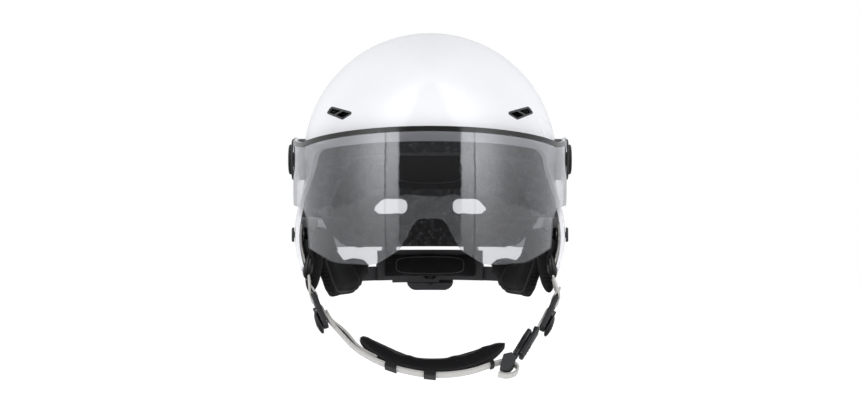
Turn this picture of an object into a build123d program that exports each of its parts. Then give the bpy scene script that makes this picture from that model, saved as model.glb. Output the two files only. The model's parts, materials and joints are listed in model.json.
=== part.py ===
"""A visored snow-sports helmet: in-mould shell, foam liner, lift-up visor, fit dial and chin harness.

Millimetres. The origin is the middle of the head cavity, level with the visor's pivot axis.
+Z is up, the face looks along -Y, and +X is the wearer's left.
"""

from build123d import *
from math import cos, radians, sin, sqrt
import os

os.makedirs("parts", exist_ok=True)

# Driving dimensions of the helmet's body
SHELL_HALF_WIDTH = 101.0
SHELL_HALF_LENGTH = 134.0
SHELL_MIDDLE_Y = 8.0
SKIRT_FLARE = 7.0
SHELL_WALL = 3.0
LINER_WALL = 19.0
PAD_THICK = 7.0
SKIRT_BOTTOM = -88.0
REAR_RIM = -72.0
BROW_RIM = 18.0
CHEEK_RIM = 11.0
LINER_DROP = 8.0

# Clearances
FIT_GAP = 0.3
RUNNING_GAP = 0.05
SKIN_GAP = 0.2

# Visor
LENS_HALF_WIDTH = 108.8
LENS_LENGTH = 133.0
LENS_WALL = 2.3
LENS_TOP = 22.5
LENS_BOTTOM = -80.5
HUB_RADIUS = 17.5
TRIM_HEIGHT = 3.6
TRIM_PROUD = 0.7

# Visor pivots
STEM_RADIUS = 6.0
COVER_RADIUS = 16.5
COVER_THICK = 1.7
KNOB_RADIUS = 11.6
KNOB_THICK = 2.4
WASHER_RADIUS = 13.0
WASHER_THICK = 0.9
NUT_RADIUS = 9.5
NUT_THICK = 3.0

# Fit system at the nape
NAPE_CENTRE_Y = 40.0
NAPE_RADIUS = 72.0
NAPE_PLATE = 2.5
BAND_PLATE = 2.0
BAND_HEIGHT = 12.0
YOKE_TOP = -75.0
YOKE_BOTTOM = -101.0
DIAL_Z = -95.0
DIAL_RADIUS = 14.7
DIAL_THICK = 8.0
PINION_PITCH = 4.0
PINION_TEETH = 10

# Harness
WEB_WIDTH = 16.0
WEB_THICK = 1.6
STRAP_TILT = 18.0
STRAP_Y = -6.0
STRAP_Z = -112.0
RIVET_Z = -60.0
FRONT_RIVET_Y = -6.0
REAR_RIVET_Y = 48.0
RIVET_HEAD = 5.8
RIVET_SHANK = 2.4
CHIN_PAD_WIDTH = 28.0
BUCKLE_WIDTH = 20.0
BUCKLE_TRAVEL = 14.0

# The side walls below the pivot, as level: (half width added, rear length taken off)
SKIRT_LEVELS = {
    0.0: (0.0, 0.0),
    -30.0: (0.36 * SKIRT_FLARE, 1.0),
    RIVET_Z: (SKIRT_FLARE, 8.0),
    -90.0: (0.1 * SKIRT_FLARE, 20.0),
    -120.0: (-0.6 * SKIRT_FLARE, 30.0),
}
LINER_INSET = SHELL_WALL + LINER_WALL


def plan_at(level, inset):
    """The plan ellipse at a skirt level: its middle's y, half width and half length."""
    wider, shorter = SKIRT_LEVELS[level]
    return SHELL_MIDDLE_Y - shorter / 2, SHELL_HALF_WIDTH + wider - inset, SHELL_HALF_LENGTH - shorter / 2 - inset


def helmet_volume(inset):
    """The helmet's whole outside as one solid, with every wall moved in by inset."""
    radius = SHELL_HALF_WIDTH - inset
    with BuildPart() as dome:
        Sphere(
            radius, arc_size1=0, arc_size2=90, rotation=(0, 0, -90), align=(Align.CENTER, Align.CENTER, Align.MIN)
        )
        scale(by=(1, (SHELL_HALF_LENGTH - inset) / radius, 1))
    with BuildPart() as volume:
        with Locations((0, SHELL_MIDDLE_Y, 0)):
            add(dome.part)
        for level in SKIRT_LEVELS:
            middle_y, half_width, half_length = plan_at(level, inset)
            with BuildSketch(Plane(origin=(0, middle_y, level), x_dir=(0, -1, 0), z_dir=(0, 0, 1))):
                Ellipse(half_length, half_width)
        loft()
    return volume.part


def side_block(points, radii, reach=160.0):
    """A side-view outline, (y, z) points with rounded corners, run across the whole helmet."""
    with BuildPart() as block:
        with BuildSketch(Plane.YZ):
            with BuildLine():
                FilletPolyline(*points, radius=radii, close=True)
            make_face()
        extrude(amount=reach, both=True)
    return block.part


def front_block(points, radii, start, end):
    """A front-view outline, (x, z) points with rounded corners, run from y = start to y = end."""
    with BuildPart() as block:
        with BuildSketch(Plane.XZ.offset(-start)):
            with BuildLine():
                FilletPolyline(*points, radius=radii, close=True)
            make_face()
        extrude(amount=start - end)
    return block.part


def layer(outer_inset, inner_inset):
    """The space between two offsets of the helmet's outside."""
    with BuildPart() as between:
        add(helmet_volume(outer_inset))
        add(helmet_volume(inner_inset), mode=Mode.SUBTRACT)
    return between.part


def save(piece, name):
    """Label a finished piece and write its STEP file."""
    piece.label = name
    export_step(piece, f"parts/{name}.step")


SIDES = {"left": 1, "right": -1}
FAR = 260.0

# The rim, seen from the side: brow, cheek, ear flap and nape
shell_rim = side_block(
    [
        (-FAR, BROW_RIM + 3),
        (-62, BROW_RIM - 13),
        (-29, CHEEK_RIM - 39),
        (-14, SKIRT_BOTTOM - 2),
        (44, SKIRT_BOTTOM + 2),
        (74, REAR_RIM),
        (FAR, REAR_RIM),
        (FAR, -FAR),
        (-FAR, -FAR),
    ],
    [0, 26, 24, 14, 16, 16, 0, 0, 0],
)
liner_rim = side_block(
    [
        (-FAR, BROW_RIM + 3 - LINER_DROP),
        (-62, BROW_RIM - 13 - LINER_DROP),
        (-36, CHEEK_RIM - 45),
        (-30, CHEEK_RIM - 57),
        (64, CHEEK_RIM - 57),
        (90, REAR_RIM),
        (FAR, REAR_RIM),
        (FAR, -FAR),
        (-FAR, -FAR),
    ],
    [0, 26, 10, 8, 14, 14, 0, 0, 0],
)

# Vents: two slanted slots above the brow, two drops low at the back
VENT_CORNERS = [(75, 38.8), (79.5, 33.7), (65.5, 27.4), (56.4, 32.5)]
VENT_RADIUS = 1.5
REAR_VENT_CORNERS = [(20, -31), (42, -31), (50.5, -40), (45, -44), (20, -44)]
REAR_VENT_RADII = [6, 8, 2, 3, 6]


def mirrored(points, side):
    """Points of an outline moved to the wearer's left (1) or right (-1)."""
    return [(side * x, z) for x, z in points]


front_vent_holes = [front_block(mirrored(VENT_CORNERS, s), [VENT_RADIUS] * 4, -FAR, -40) for s in (1, -1)]
rear_vent_holes = [front_block(mirrored(REAR_VENT_CORNERS, s), REAR_VENT_RADII, 50, FAR) for s in (1, -1)]

outside = helmet_volume(0)
shell_inside = helmet_volume(SHELL_WALL)
liner_inside = helmet_volume(LINER_INSET)

# Places along the pivot axis, outwards from the cavity
HUB_FACE = LENS_HALF_WIDTH - 0.6
cover_inner = HUB_FACE + 0.1
cover_outer = cover_inner + COVER_THICK
knob_inner = cover_outer + SKIN_GAP
washer_outer = HUB_FACE - LENS_WALL - 0.1
mount_outer = washer_outer - WASHER_THICK - 0.05
nut_outer = SHELL_HALF_WIDTH - SHELL_WALL - 1.7
nut_inner = nut_outer - NUT_THICK
tbar_outer = nut_inner - SKIN_GAP
TBAR_THICK = 2.6
TBAR_LENGTH = 15.0
tbar_inner = tbar_outer - TBAR_THICK
pocket_inner = tbar_inner - 1.0


def axial(radius, start, end, side):
    """A round bar on the visor's pivot axis, between two distances from the middle."""
    with BuildPart() as bar:
        with BuildSketch(Plane.YZ.offset(side * start)):
            Circle(radius)
        extrude(amount=side * (end - start))
    return bar.part


def rivet_plane(y, side, depth):
    """The plane across a rivet at a depth under the side wall's face, looking outwards."""
    middle_y, half_width, half_length = plan_at(RIVET_Z, 0)
    x = half_width * sqrt(1 - ((y - middle_y) / half_length) ** 2)
    normal = Vector(side * x / half_width**2, (y - middle_y) / half_length**2, 0).normalized()
    return Plane(origin=Vector(side * x, y, RIVET_Z) - normal * depth, x_dir=(0, 0, 1), z_dir=normal)


# Outer shell
with BuildPart() as outer_shell:
    add(outside)
    add(shell_inside, mode=Mode.SUBTRACT)
    add(shell_rim, mode=Mode.SUBTRACT)
    for hole in front_vent_holes + rear_vent_holes:
        add(hole, mode=Mode.SUBTRACT)
    for s in (1, -1):
        add(axial(STEM_RADIUS + FIT_GAP, 60, 120, s), mode=Mode.SUBTRACT)
        for y in (FRONT_RIVET_Y, REAR_RIVET_Y):
            with BuildSketch(rivet_plane(y, s, 0)):
                Circle(RIVET_SHANK + RUNNING_GAP)
            extrude(amount=12, both=True, mode=Mode.SUBTRACT)
save(outer_shell.part, "outer_shell")

# Foam liner, with pockets for the pivot nuts and the nape yoke's arms
ARM_SPREAD = (24.0, 34.0)
ARM_TOP = -56.0


def nape_arc(inner, outer, start, end, bottom, top):
    """A curved plate round the back of the head, between two angles from the middle."""
    with BuildPart() as plate:
        with BuildSketch(Plane.XY.offset(bottom)):
            with Locations((0, NAPE_CENTRE_Y)):
                Circle(outer)
                Circle(inner, mode=Mode.SUBTRACT)
            with BuildLine():
                reach = 3 * outer
                Polyline(
                    (0, NAPE_CENTRE_Y),
                    (reach * sin(radians(start)), NAPE_CENTRE_Y + reach * cos(radians(start))),
                    (reach * sin(radians(end)), NAPE_CENTRE_Y + reach * cos(radians(end))),
                    close=True,
                )
            make_face(mode=Mode.INTERSECT)
        extrude(amount=top - bottom)
    return plate.part


yoke_inner = NAPE_RADIUS + FIT_GAP
yoke_outer = yoke_inner + NAPE_PLATE
with BuildPart() as foam_liner:
    add(shell_inside)
    add(liner_inside, mode=Mode.SUBTRACT)
    add(liner_rim, mode=Mode.SUBTRACT)
    for hole in front_vent_holes + rear_vent_holes:
        add(hole, mode=Mode.SUBTRACT)
    for s in (1, -1):
        add(axial(NUT_RADIUS + FIT_GAP, pocket_inner, 120, s), mode=Mode.SUBTRACT)
        arm_edges = sorted((s * (ARM_SPREAD[0] - 0.5), s * (ARM_SPREAD[1] + 0.5)))
        add(
            nape_arc(yoke_inner - FIT_GAP, yoke_outer + FIT_GAP, *arm_edges, YOKE_BOTTOM, ARM_TOP + FIT_GAP),
            mode=Mode.SUBTRACT,
        )
save(foam_liner.part, "foam_liner")

# Front vent sleeves, each with a louvre across it
for name, s in SIDES.items():
    middle = (s * 69.1, 33.1)
    with BuildPart() as vent_sleeve:
        with BuildSketch(Plane.XZ.offset(140)):
            with BuildLine():
                FilletPolyline(*mirrored(VENT_CORNERS, s), radius=VENT_RADIUS, close=True)
            make_face()
            offset(amount=-SKIN_GAP)
            with BuildSketch(Plane.XZ.offset(140), mode=Mode.PRIVATE) as opening:
                with BuildLine():
                    FilletPolyline(*mirrored(VENT_CORNERS, s), radius=VENT_RADIUS, close=True)
                make_face()
                offset(amount=-SKIN_GAP - 1.2)
            add(opening.sketch, mode=Mode.SUBTRACT)
        extrude(amount=-100)
        with BuildSketch(Plane.XZ.offset(140)):
            with Locations(Location((middle[0], middle[1], 0), (0, 0, -24 * s))):
                Rectangle(21, 1.2)
        extrude(amount=-100)
        with BuildSketch(Plane.XZ.offset(140)):
            with BuildLine():
                FilletPolyline(*mirrored(VENT_CORNERS, s), radius=VENT_RADIUS, close=True)
            make_face()
            offset(amount=-SKIN_GAP)
        extrude(amount=-100, mode=Mode.INTERSECT)
        add(helmet_volume(0.4), mode=Mode.INTERSECT)
        add(helmet_volume(13), mode=Mode.SUBTRACT)
    save(vent_sleeve.part, f"front_vent_{name}")

# Comfort pads: pieces of the layer inside the liner
pad_layer = layer(LINER_INSET + SKIN_GAP, LINER_INSET + SKIN_GAP + PAD_THICK)
PAD_REGIONS = {
    "brow_pad": side_block([(-FAR, 4), (-48, -3), (-48, 28), (-FAR, 34)], [0, 4, 4, 0], 74.0),
    "crown_pad": side_block([(-50, 40), (58, 40), (58, FAR), (-50, FAR)], [8, 8, 0, 0], 26.0),
    "rear_pad": side_block([(70, -26), (FAR, -26), (FAR, 26), (70, 26)], [0, 0, 0, 0], 52.0),
}
for name, region in PAD_REGIONS.items():
    with BuildPart() as comfort_pad:
        add(pad_layer)
        add(region, mode=Mode.INTERSECT)
    save(comfort_pad.part, name)
for name, s in SIDES.items():
    with BuildPart() as side_pad:
        add(pad_layer)
        with BuildSketch(Plane.YZ):
            with Locations((14, 24)):
                RectangleRounded(72, 30, 8)
        extrude(amount=s * 120, mode=Mode.INTERSECT)
    save(side_pad.part, f"side_pad_{name}")

# Ear pads hang inside the ear flaps, on press studs
EAR_OUTER_INSET = 10.5
EAR_INNER_INSET = 22.0
ear_layer = layer(EAR_OUTER_INSET, EAR_INNER_INSET)
for name, s in SIDES.items():
    with BuildPart() as ear_pad:
        add(ear_layer)
        with BuildSketch(Plane.YZ):
            with BuildLine():
                FilletPolyline(
                    (7, -52), (7, -104), (16, -113), (58, -113), (82, -92), (82, -79), (52, -79), (46, -52),
                    radius=[4, 8, 8, 18, 8, 5, 12, 6], close=True,
                )
            make_face()
        extrude(amount=s * 130, mode=Mode.INTERSECT)
    save(ear_pad.part, f"ear_pad_{name}")

    stud_y = 24.0
    with BuildPart() as ear_stud:
        with BuildSketch(rivet_plane(stud_y, s, SHELL_WALL + 0.5)):
            Circle(5.0)
        extrude(amount=-(EAR_OUTER_INSET - SHELL_WALL - 0.5 - FIT_GAP - 0.2))
    save(ear_stud.part, f"ear_pad_stud_{name}")


# Visor lens: one curved sheet, cut to its outline from the front and from the side
def lens_volume(inset):
    """The visor's surface closed off behind the pivots, with every wall moved in by inset."""
    levels = {LENS_TOP + 3: (0.9, 3.0), -20.0: (0.0, 0.0), LENS_BOTTOM - 3: (2.2, 6.0)}
    with BuildPart() as volume:
        for level, (narrower, shorter) in levels.items():
            width = LENS_HALF_WIDTH - narrower - inset
            back = 26.0 + 4 * inset
            with BuildSketch(Plane.XY.offset(level)):
                with BuildLine():
                    EllipticalCenterArc(
                        (0, 0), width, LENS_LENGTH - shorter - inset, start_angle=180, arc_size=180
                    )
                    Polyline((width, 0), (width, back), (-width, back), (-width, 0))
                make_face()
        loft()
    return volume.part


lens_front = front_block(
    [
        (125, 40), (125, -48), (92, -69.5), (73, -79.5), (40, -80.5), (22, -69), (10, -46.4),
        (-10, -46.4), (-22, -69), (-40, -80.5), (-73, -79.5), (-92, -69.5), (-125, -48), (-125, 40),
    ],
    [0, 0, 9, 18, 20, 12, 8, 8, 12, 20, 18, 9, 0, 0],
    -FAR, FAR,
)
LENS_BACK = -66.0
LENS_EDGE = [(-FAR, LENS_TOP + 14), (-56, 10.5), (-10, 14)]
LENS_SIDE = LENS_EDGE + [(-14, -36), (LENS_BACK, -39), (LENS_BACK, -FAR), (-FAR, -FAR)]
LENS_SIDE_RADII = [0, 40, 0, 12, 14, 0, 0]


def visor_sheet(outer_inset, inner_inset):
    """A layer of the visor, trimmed to the lens's outline and bored for the pivots."""
    with BuildPart() as sheet:
        add(lens_volume(outer_inset))
        add(lens_volume(inner_inset), mode=Mode.SUBTRACT)
        with BuildSketch(Plane.YZ):
            with BuildLine():
                FilletPolyline(*LENS_SIDE, radius=LENS_SIDE_RADII, close=True)
            make_face()
            Circle(HUB_RADIUS)
        extrude(amount=130, both=True, mode=Mode.INTERSECT)
        add(lens_front, mode=Mode.INTERSECT)
        for side in (1, -1):
            add(axial(HUB_RADIUS, 80, 130, side), mode=Mode.SUBTRACT)
            add(axial(HUB_RADIUS, HUB_FACE - LENS_WALL, HUB_FACE, side))
            add(axial(STEM_RADIUS + RUNNING_GAP, 80, 130, side), mode=Mode.SUBTRACT)
    return sheet.part


with BuildPart() as visor_lens:
    add(visor_sheet(0, LENS_WALL))
save(visor_lens.part, "visor_lens")

# Rubber trim that grips the lens's top edge between two lips
TRIM_CAP = 0.9
TRIM_START = 22.0


def edge_band(above, below):
    """A band across the visor that follows the lens's top edge, from above it to below it."""
    upper = [(y, z + above) for y, z in LENS_EDGE]
    lower = [(y, z - below) for y, z in reversed(LENS_EDGE)]
    return side_block(upper + lower, [0, 40, 0, 0, 40, 0])


with BuildPart() as lens_space:
    add(lens_volume(-0.05))
    add(lens_volume(LENS_WALL + 0.05), mode=Mode.SUBTRACT)
    add(edge_band(0.05, 2 * TRIM_HEIGHT), mode=Mode.INTERSECT)
with BuildPart() as visor_trim:
    add(lens_volume(-TRIM_PROUD))
    add(lens_volume(LENS_WALL + TRIM_PROUD), mode=Mode.SUBTRACT)
    add(edge_band(TRIM_CAP, TRIM_HEIGHT - TRIM_CAP), mode=Mode.INTERSECT)
    add(lens_space.part, mode=Mode.SUBTRACT)
    split(bisect_by=Plane.XZ.offset(TRIM_START))
save(visor_trim.part, "visor_top_trim")

# Visor pivots, one each side
for name, s in SIDES.items():
    with BuildPart() as pivot_mount:
        add(axial(COVER_RADIUS, 96, mount_outer, s))
        add(helmet_volume(-0.05), mode=Mode.SUBTRACT)
        add(axial(STEM_RADIUS + RUNNING_GAP, 90, 120, s), mode=Mode.SUBTRACT)
    save(pivot_mount.part, f"pivot_mount_{name}")

    with BuildPart() as pivot_washer:
        add(axial(WASHER_RADIUS, washer_outer - WASHER_THICK, washer_outer, s))
        add(axial(STEM_RADIUS + RUNNING_GAP, 90, 120, s), mode=Mode.SUBTRACT)
    save(pivot_washer.part, f"pivot_washer_{name}")

    with BuildPart() as pivot_cover:
        add(axial(COVER_RADIUS, cover_inner, cover_outer, s))
        rim_edges = pivot_cover.edges().filter_by(GeomType.CIRCLE).group_by(Axis.X)[-1 if s > 0 else 0]
        chamfer(rim_edges, 0.6)
        add(axial(STEM_RADIUS + RUNNING_GAP, 90, 120, s), mode=Mode.SUBTRACT)
    save(pivot_cover.part, f"pivot_cover_{name}")

    with BuildPart() as pivot_knob:
        add(axial(KNOB_RADIUS, knob_inner, knob_inner + KNOB_THICK, s))
        rim_edges = pivot_knob.edges().filter_by(GeomType.CIRCLE).group_by(Axis.X)[-1 if s > 0 else 0]
        fillet(rim_edges, 0.8)
        with BuildSketch(Plane.YZ.offset(s * (knob_inner + KNOB_THICK))):
            SlotOverall(17, 3.4)
        extrude(amount=-s * 1.4, mode=Mode.SUBTRACT)
        add(axial(STEM_RADIUS, tbar_inner, knob_inner + 0.5, s))
        with BuildSketch(Plane.YZ.offset(s * tbar_inner)):
            Rectangle(TBAR_LENGTH, 5.0)
        extrude(amount=s * TBAR_THICK)
    save(pivot_knob.part, f"pivot_knob_{name}")

    with BuildPart() as pivot_nut:
        add(axial(NUT_RADIUS, nut_inner, nut_outer, s))
        add(axial(STEM_RADIUS + RUNNING_GAP, 60, 120, s), mode=Mode.SUBTRACT)
        with BuildSketch(Plane.YZ.offset(s * nut_inner)):
            Rectangle(5.6, TBAR_LENGTH + 0.8)
        extrude(amount=s * NUT_THICK, mode=Mode.SUBTRACT)
    save(pivot_nut.part, f"pivot_nut_{name}")

# Nape: pad, fixed yoke, two sliding rack bands, dial
DIAL_BLOCK_HALF = 20.0
housing_outer = NAPE_CENTRE_Y + yoke_outer + BAND_PLATE + 9.0
band_inner = yoke_outer + FIT_GAP
band_outer = band_inner + BAND_PLATE

with BuildPart() as nape_yoke:
    add(nape_arc(yoke_inner, yoke_outer, -38, 38, YOKE_BOTTOM, YOKE_TOP))
    for s in (1, -1):
        arm_edges = sorted((s * ARM_SPREAD[0], s * ARM_SPREAD[1]))
        add(nape_arc(yoke_inner, yoke_outer, *arm_edges, YOKE_TOP - 4, ARM_TOP))
    with BuildSketch(Plane.XZ.offset(-NAPE_CENTRE_Y)):
        with Locations((0, DIAL_Z)):
            Circle(PINION_PITCH + 2.2)
    extrude(amount=-100, mode=Mode.SUBTRACT)
save(nape_yoke.part, "nape_yoke")

with BuildPart() as nape_pad:
    add(nape_arc(NAPE_RADIUS - 6, NAPE_RADIUS, -34, 34, YOKE_BOTTOM + 2, YOKE_TOP - 2))
save(nape_pad.part, "nape_pad")

RACK_OFFSET = PINION_PITCH + 1.0
RACK_HEIGHT = BAND_HEIGHT / 2 + 1.2 - RACK_OFFSET + 1.0
for name, s in SIDES.items():
    low = DIAL_Z + RACK_OFFSET if s > 0 else DIAL_Z - RACK_OFFSET - RACK_HEIGHT
    with BuildPart() as rack_band:
        grip_edges = sorted((s * 24, s * 50))
        rack_edges = sorted((-s * 6, s * 25))
        half = BAND_HEIGHT / 2
        add(nape_arc(band_inner, band_outer, *grip_edges, DIAL_Z - half, DIAL_Z + half))
        add(nape_arc(band_inner, band_outer, *rack_edges, low, low + RACK_HEIGHT))
    save(rack_band.part, f"rack_band_{name}")

with BuildPart() as dial_housing:
    with BuildSketch(Plane.XZ.offset(-housing_outer)):
        with Locations((0, DIAL_Z)):
            RectangleRounded(2 * DIAL_BLOCK_HALF, 30, 8)
    extrude(amount=26)
    with BuildSketch(Plane.XY.offset(-140)):
        with Locations((0, NAPE_CENTRE_Y)):
            Circle(yoke_outer + 0.1)
    extrude(amount=100, mode=Mode.SUBTRACT)
    slot_half = RACK_OFFSET + RACK_HEIGHT + 0.5
    with BuildSketch(Plane.XY.offset(DIAL_Z - slot_half)):
        with Locations((0, NAPE_CENTRE_Y)):
            Circle(band_outer + FIT_GAP)
    extrude(amount=2 * slot_half, mode=Mode.SUBTRACT)
    with BuildSketch(Plane.XZ.offset(-housing_outer)):
        with Locations((0, DIAL_Z)):
            Circle(2.0 + RUNNING_GAP)
    extrude(amount=30, mode=Mode.SUBTRACT)
save(dial_housing.part, "dial_housing")

with BuildPart() as dial_knob:
    with BuildSketch(Plane.XZ.offset(-housing_outer - SKIN_GAP)):
        with Locations((0, DIAL_Z)):
            Circle(DIAL_RADIUS)
            with PolarLocations(DIAL_RADIUS + 1.4, 18):
                Circle(2.2, mode=Mode.SUBTRACT)
    extrude(amount=-DIAL_THICK)
    fillet(dial_knob.faces().sort_by(Axis.Y)[-1].edges(), 0.6)
    with BuildSketch(Plane.XZ.offset(-housing_outer - SKIN_GAP)):
        with Locations((0, DIAL_Z)):
            Circle(2.0)
    extrude(amount=housing_outer - NAPE_CENTRE_Y - band_outer - 0.6)
save(dial_knob.part, "dial_knob")

with BuildPart() as dial_pinion:
    with BuildSketch(Plane.XZ.offset(-NAPE_CENTRE_Y - band_outer + 0.2)):
        with Locations((0, DIAL_Z)):
            Circle(PINION_PITCH - 0.6)
            with PolarLocations(PINION_PITCH - 0.1, PINION_TEETH):
                Rectangle(1.6, 1.2)
    extrude(amount=BAND_PLATE + 1.6)
save(dial_pinion.part, "dial_pinion")


# Harness: side profiles drawn in one sloping plane, and run along its normal
def strap_plane(u=0.0, v=0.0, turn=0.0):
    """The plane that the chin strap hangs in, moved to (u, v) and turned about its normal."""
    slope = Vector(0, sin(radians(STRAP_TILT)), cos(radians(STRAP_TILT)))
    normal = Vector(0, -cos(radians(STRAP_TILT)), sin(radians(STRAP_TILT)))
    origin = Vector(u, STRAP_Y, STRAP_Z) + slope * v
    x_dir = Vector(1, 0, 0) * cos(radians(turn)) + slope * sin(radians(turn))
    return Plane(origin=origin, x_dir=x_dir, z_dir=normal)


# Each divider's middle and lean; the two sides of a worn harness aren't quite alike
DIVIDERS = {"left": (94.5, -11.5, -115.0), "right": (-87.5, -9.0, -67.0)}
DIVIDER_LENGTH = 28.0
DIVIDER_WIDTH = 20.0
DIVIDER_THICK = 3.2
LEVER_THICK = 2.6
LEVER_LENGTH = 17.0
LEVER_PIN = 1.1
PIN_X = 0.8
EAR_LENGTH = 4.4
EAR_WIDTH = 1.8
WEB_JOIN_Z = -97.0
WEB_BEND = (96.4, -90.0)

FRONT_STRAP_SINK = 1.0
REAR_STRAP_SINK = 3.0
REAR_STRAP_LAP = {"left": -2.5, "right": 2.5}  # how far outside the front strap it meets it
strap_centre = SHELL_WALL + FIT_GAP + WEB_THICK / 2
inner_face = DIVIDER_THICK / 2 + FIT_GAP + WEB_THICK / 2
lever_inner = DIVIDER_THICK / 2 + FIT_GAP
lever_middle = lever_inner + LEVER_THICK / 2
LEVER_WIDTH = DIVIDER_WIDTH - 2 * EAR_WIDTH - 0.8


def washer_depth(y):
    """How far under the wall's face the washer of the rivet at y sits."""
    sink = FRONT_STRAP_SINK + 0.6 if y < 0 else REAR_STRAP_SINK + 1.0
    return SHELL_WALL + FIT_GAP + WEB_THICK + sink


def web(plane, points, radii, width=WEB_WIDTH, thick=WEB_THICK):
    """Webbing along a path drawn on a plane, with its width along the plane's normal."""
    with BuildPart() as strip:
        with BuildSketch(plane):
            with BuildLine():
                FilletPolyline(*points, radius=radii)
            trace(line_width=thick)
        extrude(amount=width / 2, both=True)
    return strip.part


def along(plane, x, y):
    """A point of the strap plane, (u, v), from a divider's or the buckle's own directions."""
    spot = plane.from_local_coords((x, y, 0)) - strap_plane().origin
    return spot.X, spot.dot(strap_plane().y_dir)


for name, s in SIDES.items():
    middle = strap_plane(*DIVIDERS[name])
    top = middle.origin - middle.x_dir * (DIVIDER_LENGTH / 2)
    with BuildPart() as divider_space:
        with BuildSketch(middle):
            Rectangle(DIVIDER_LENGTH + 2 * FIT_GAP, DIVIDER_THICK + 2 * FIT_GAP)
        extrude(amount=DIVIDER_WIDTH, both=True)

    wall = rivet_plane(FRONT_RIVET_Y, s, strap_centre + FRONT_STRAP_SINK).origin
    with BuildPart() as front_strap:
        add(
            web(
                Plane(origin=(0, FRONT_RIVET_Y, 0), x_dir=(1, 0, 0), z_dir=(0, -1, 0)),
                [(wall.X, RIVET_Z + 9), (wall.X, RIVET_Z - 8), (s * WEB_BEND[0], WEB_BEND[1]), (top.X, top.Z)],
                [12, 20],
            )
        )
        with BuildSketch(rivet_plane(FRONT_RIVET_Y, s, 0)):
            Circle(RIVET_SHANK + RUNNING_GAP)
        extrude(amount=12, both=True, mode=Mode.SUBTRACT)
        add(divider_space.part, mode=Mode.SUBTRACT)
    save(front_strap.part, f"front_strap_{name}")

    share = (WEB_JOIN_Z - WEB_BEND[1]) / (top.Z - WEB_BEND[1])
    join_x = s * WEB_BEND[0] + share * (top.X - s * WEB_BEND[0])
    start = rivet_plane(REAR_RIVET_Y, s, strap_centre + REAR_STRAP_SINK).origin
    finish = Vector(join_x + s * REAR_STRAP_LAP[name], FRONT_RIVET_Y + 7, WEB_JOIN_Z)
    run = (finish - start).normalized()
    outward = Vector(s, 0.22, 0)
    with BuildPart() as rear_strap:
        with BuildSketch(Plane(origin=start, x_dir=run, z_dir=outward - run * run.dot(outward))):
            with Locations(((finish - start).length / 2, 0)):
                Rectangle((finish - start).length, WEB_WIDTH)
            Circle(WEB_WIDTH / 2)
        extrude(amount=WEB_THICK / 2, both=True)
        with BuildSketch(rivet_plane(REAR_RIVET_Y, s, 0)):
            Circle(RIVET_SHANK + RUNNING_GAP)
        extrude(amount=12, both=True, mode=Mode.SUBTRACT)
        with BuildSketch(rivet_plane(REAR_RIVET_Y, s, washer_depth(REAR_RIVET_Y))):
            Circle(RIVET_HEAD + FIT_GAP)
        extrude(amount=-3, mode=Mode.SUBTRACT)
        for neighbour in (outer_shell, front_strap):
            add(neighbour.part, mode=Mode.SUBTRACT)
    save(rear_strap.part, f"rear_strap_{name}")

    # Divider: a two-window plate with ears, a hinge pin and a locking lever on its outer face
    face = Plane(origin=middle.origin, x_dir=middle.x_dir, z_dir=middle.y_dir * s)
    with BuildPart() as divider:
        with BuildSketch(face):
            RectangleRounded(DIVIDER_LENGTH, DIVIDER_WIDTH, 6)
            with Locations((-9.2, 0)):
                RectangleRounded(3.6, WEB_WIDTH - 1, 1.2, mode=Mode.SUBTRACT)
            with Locations((-3.2, 0)):
                RectangleRounded(2.6, WEB_WIDTH - 1, 1.0, mode=Mode.SUBTRACT)
        extrude(amount=DIVIDER_THICK / 2, both=True)
        with BuildSketch(face.offset(DIVIDER_THICK / 2)):
            with Locations((PIN_X, (DIVIDER_WIDTH - EAR_WIDTH) / 2), (PIN_X, (EAR_WIDTH - DIVIDER_WIDTH) / 2)):
                Rectangle(EAR_LENGTH, EAR_WIDTH)
        extrude(amount=lever_middle + EAR_WIDTH - DIVIDER_THICK / 2)
        with BuildSketch(strap_plane(*DIVIDERS[name])):
            with Locations((PIN_X, s * lever_middle)):
                Circle(LEVER_PIN + 0.01)
        extrude(amount=DIVIDER_WIDTH, both=True, mode=Mode.SUBTRACT)
    save(divider.part, f"strap_divider_{name}")

    with BuildPart() as divider_pin:
        with BuildSketch(middle):
            with Locations((PIN_X, s * lever_middle)):
                Circle(LEVER_PIN)
        extrude(amount=DIVIDER_WIDTH / 2, both=True)
    save(divider_pin.part, f"divider_pin_{name}")

    with BuildPart() as divider_lever:
        with BuildSketch(face.offset(lever_inner)):
            with Locations((PIN_X + LEVER_LENGTH / 2, 0)):
                RectangleRounded(LEVER_LENGTH, LEVER_WIDTH, 6.5)
            with Locations((3, 0)):
                Rectangle(EAR_LENGTH, LEVER_WIDTH)
        extrude(amount=LEVER_THICK)
        with BuildSketch(middle):
            with Locations((PIN_X, s * lever_middle)):
                Circle(LEVER_THICK / 2)
        extrude(amount=LEVER_WIDTH / 2, both=True)
        with BuildSketch(middle):
            with Locations((PIN_X, s * lever_middle)):
                Circle(LEVER_PIN + RUNNING_GAP)
        extrude(amount=DIVIDER_WIDTH, both=True, mode=Mode.SUBTRACT)
    save(divider_lever.part, f"divider_lever_{name}")

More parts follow.
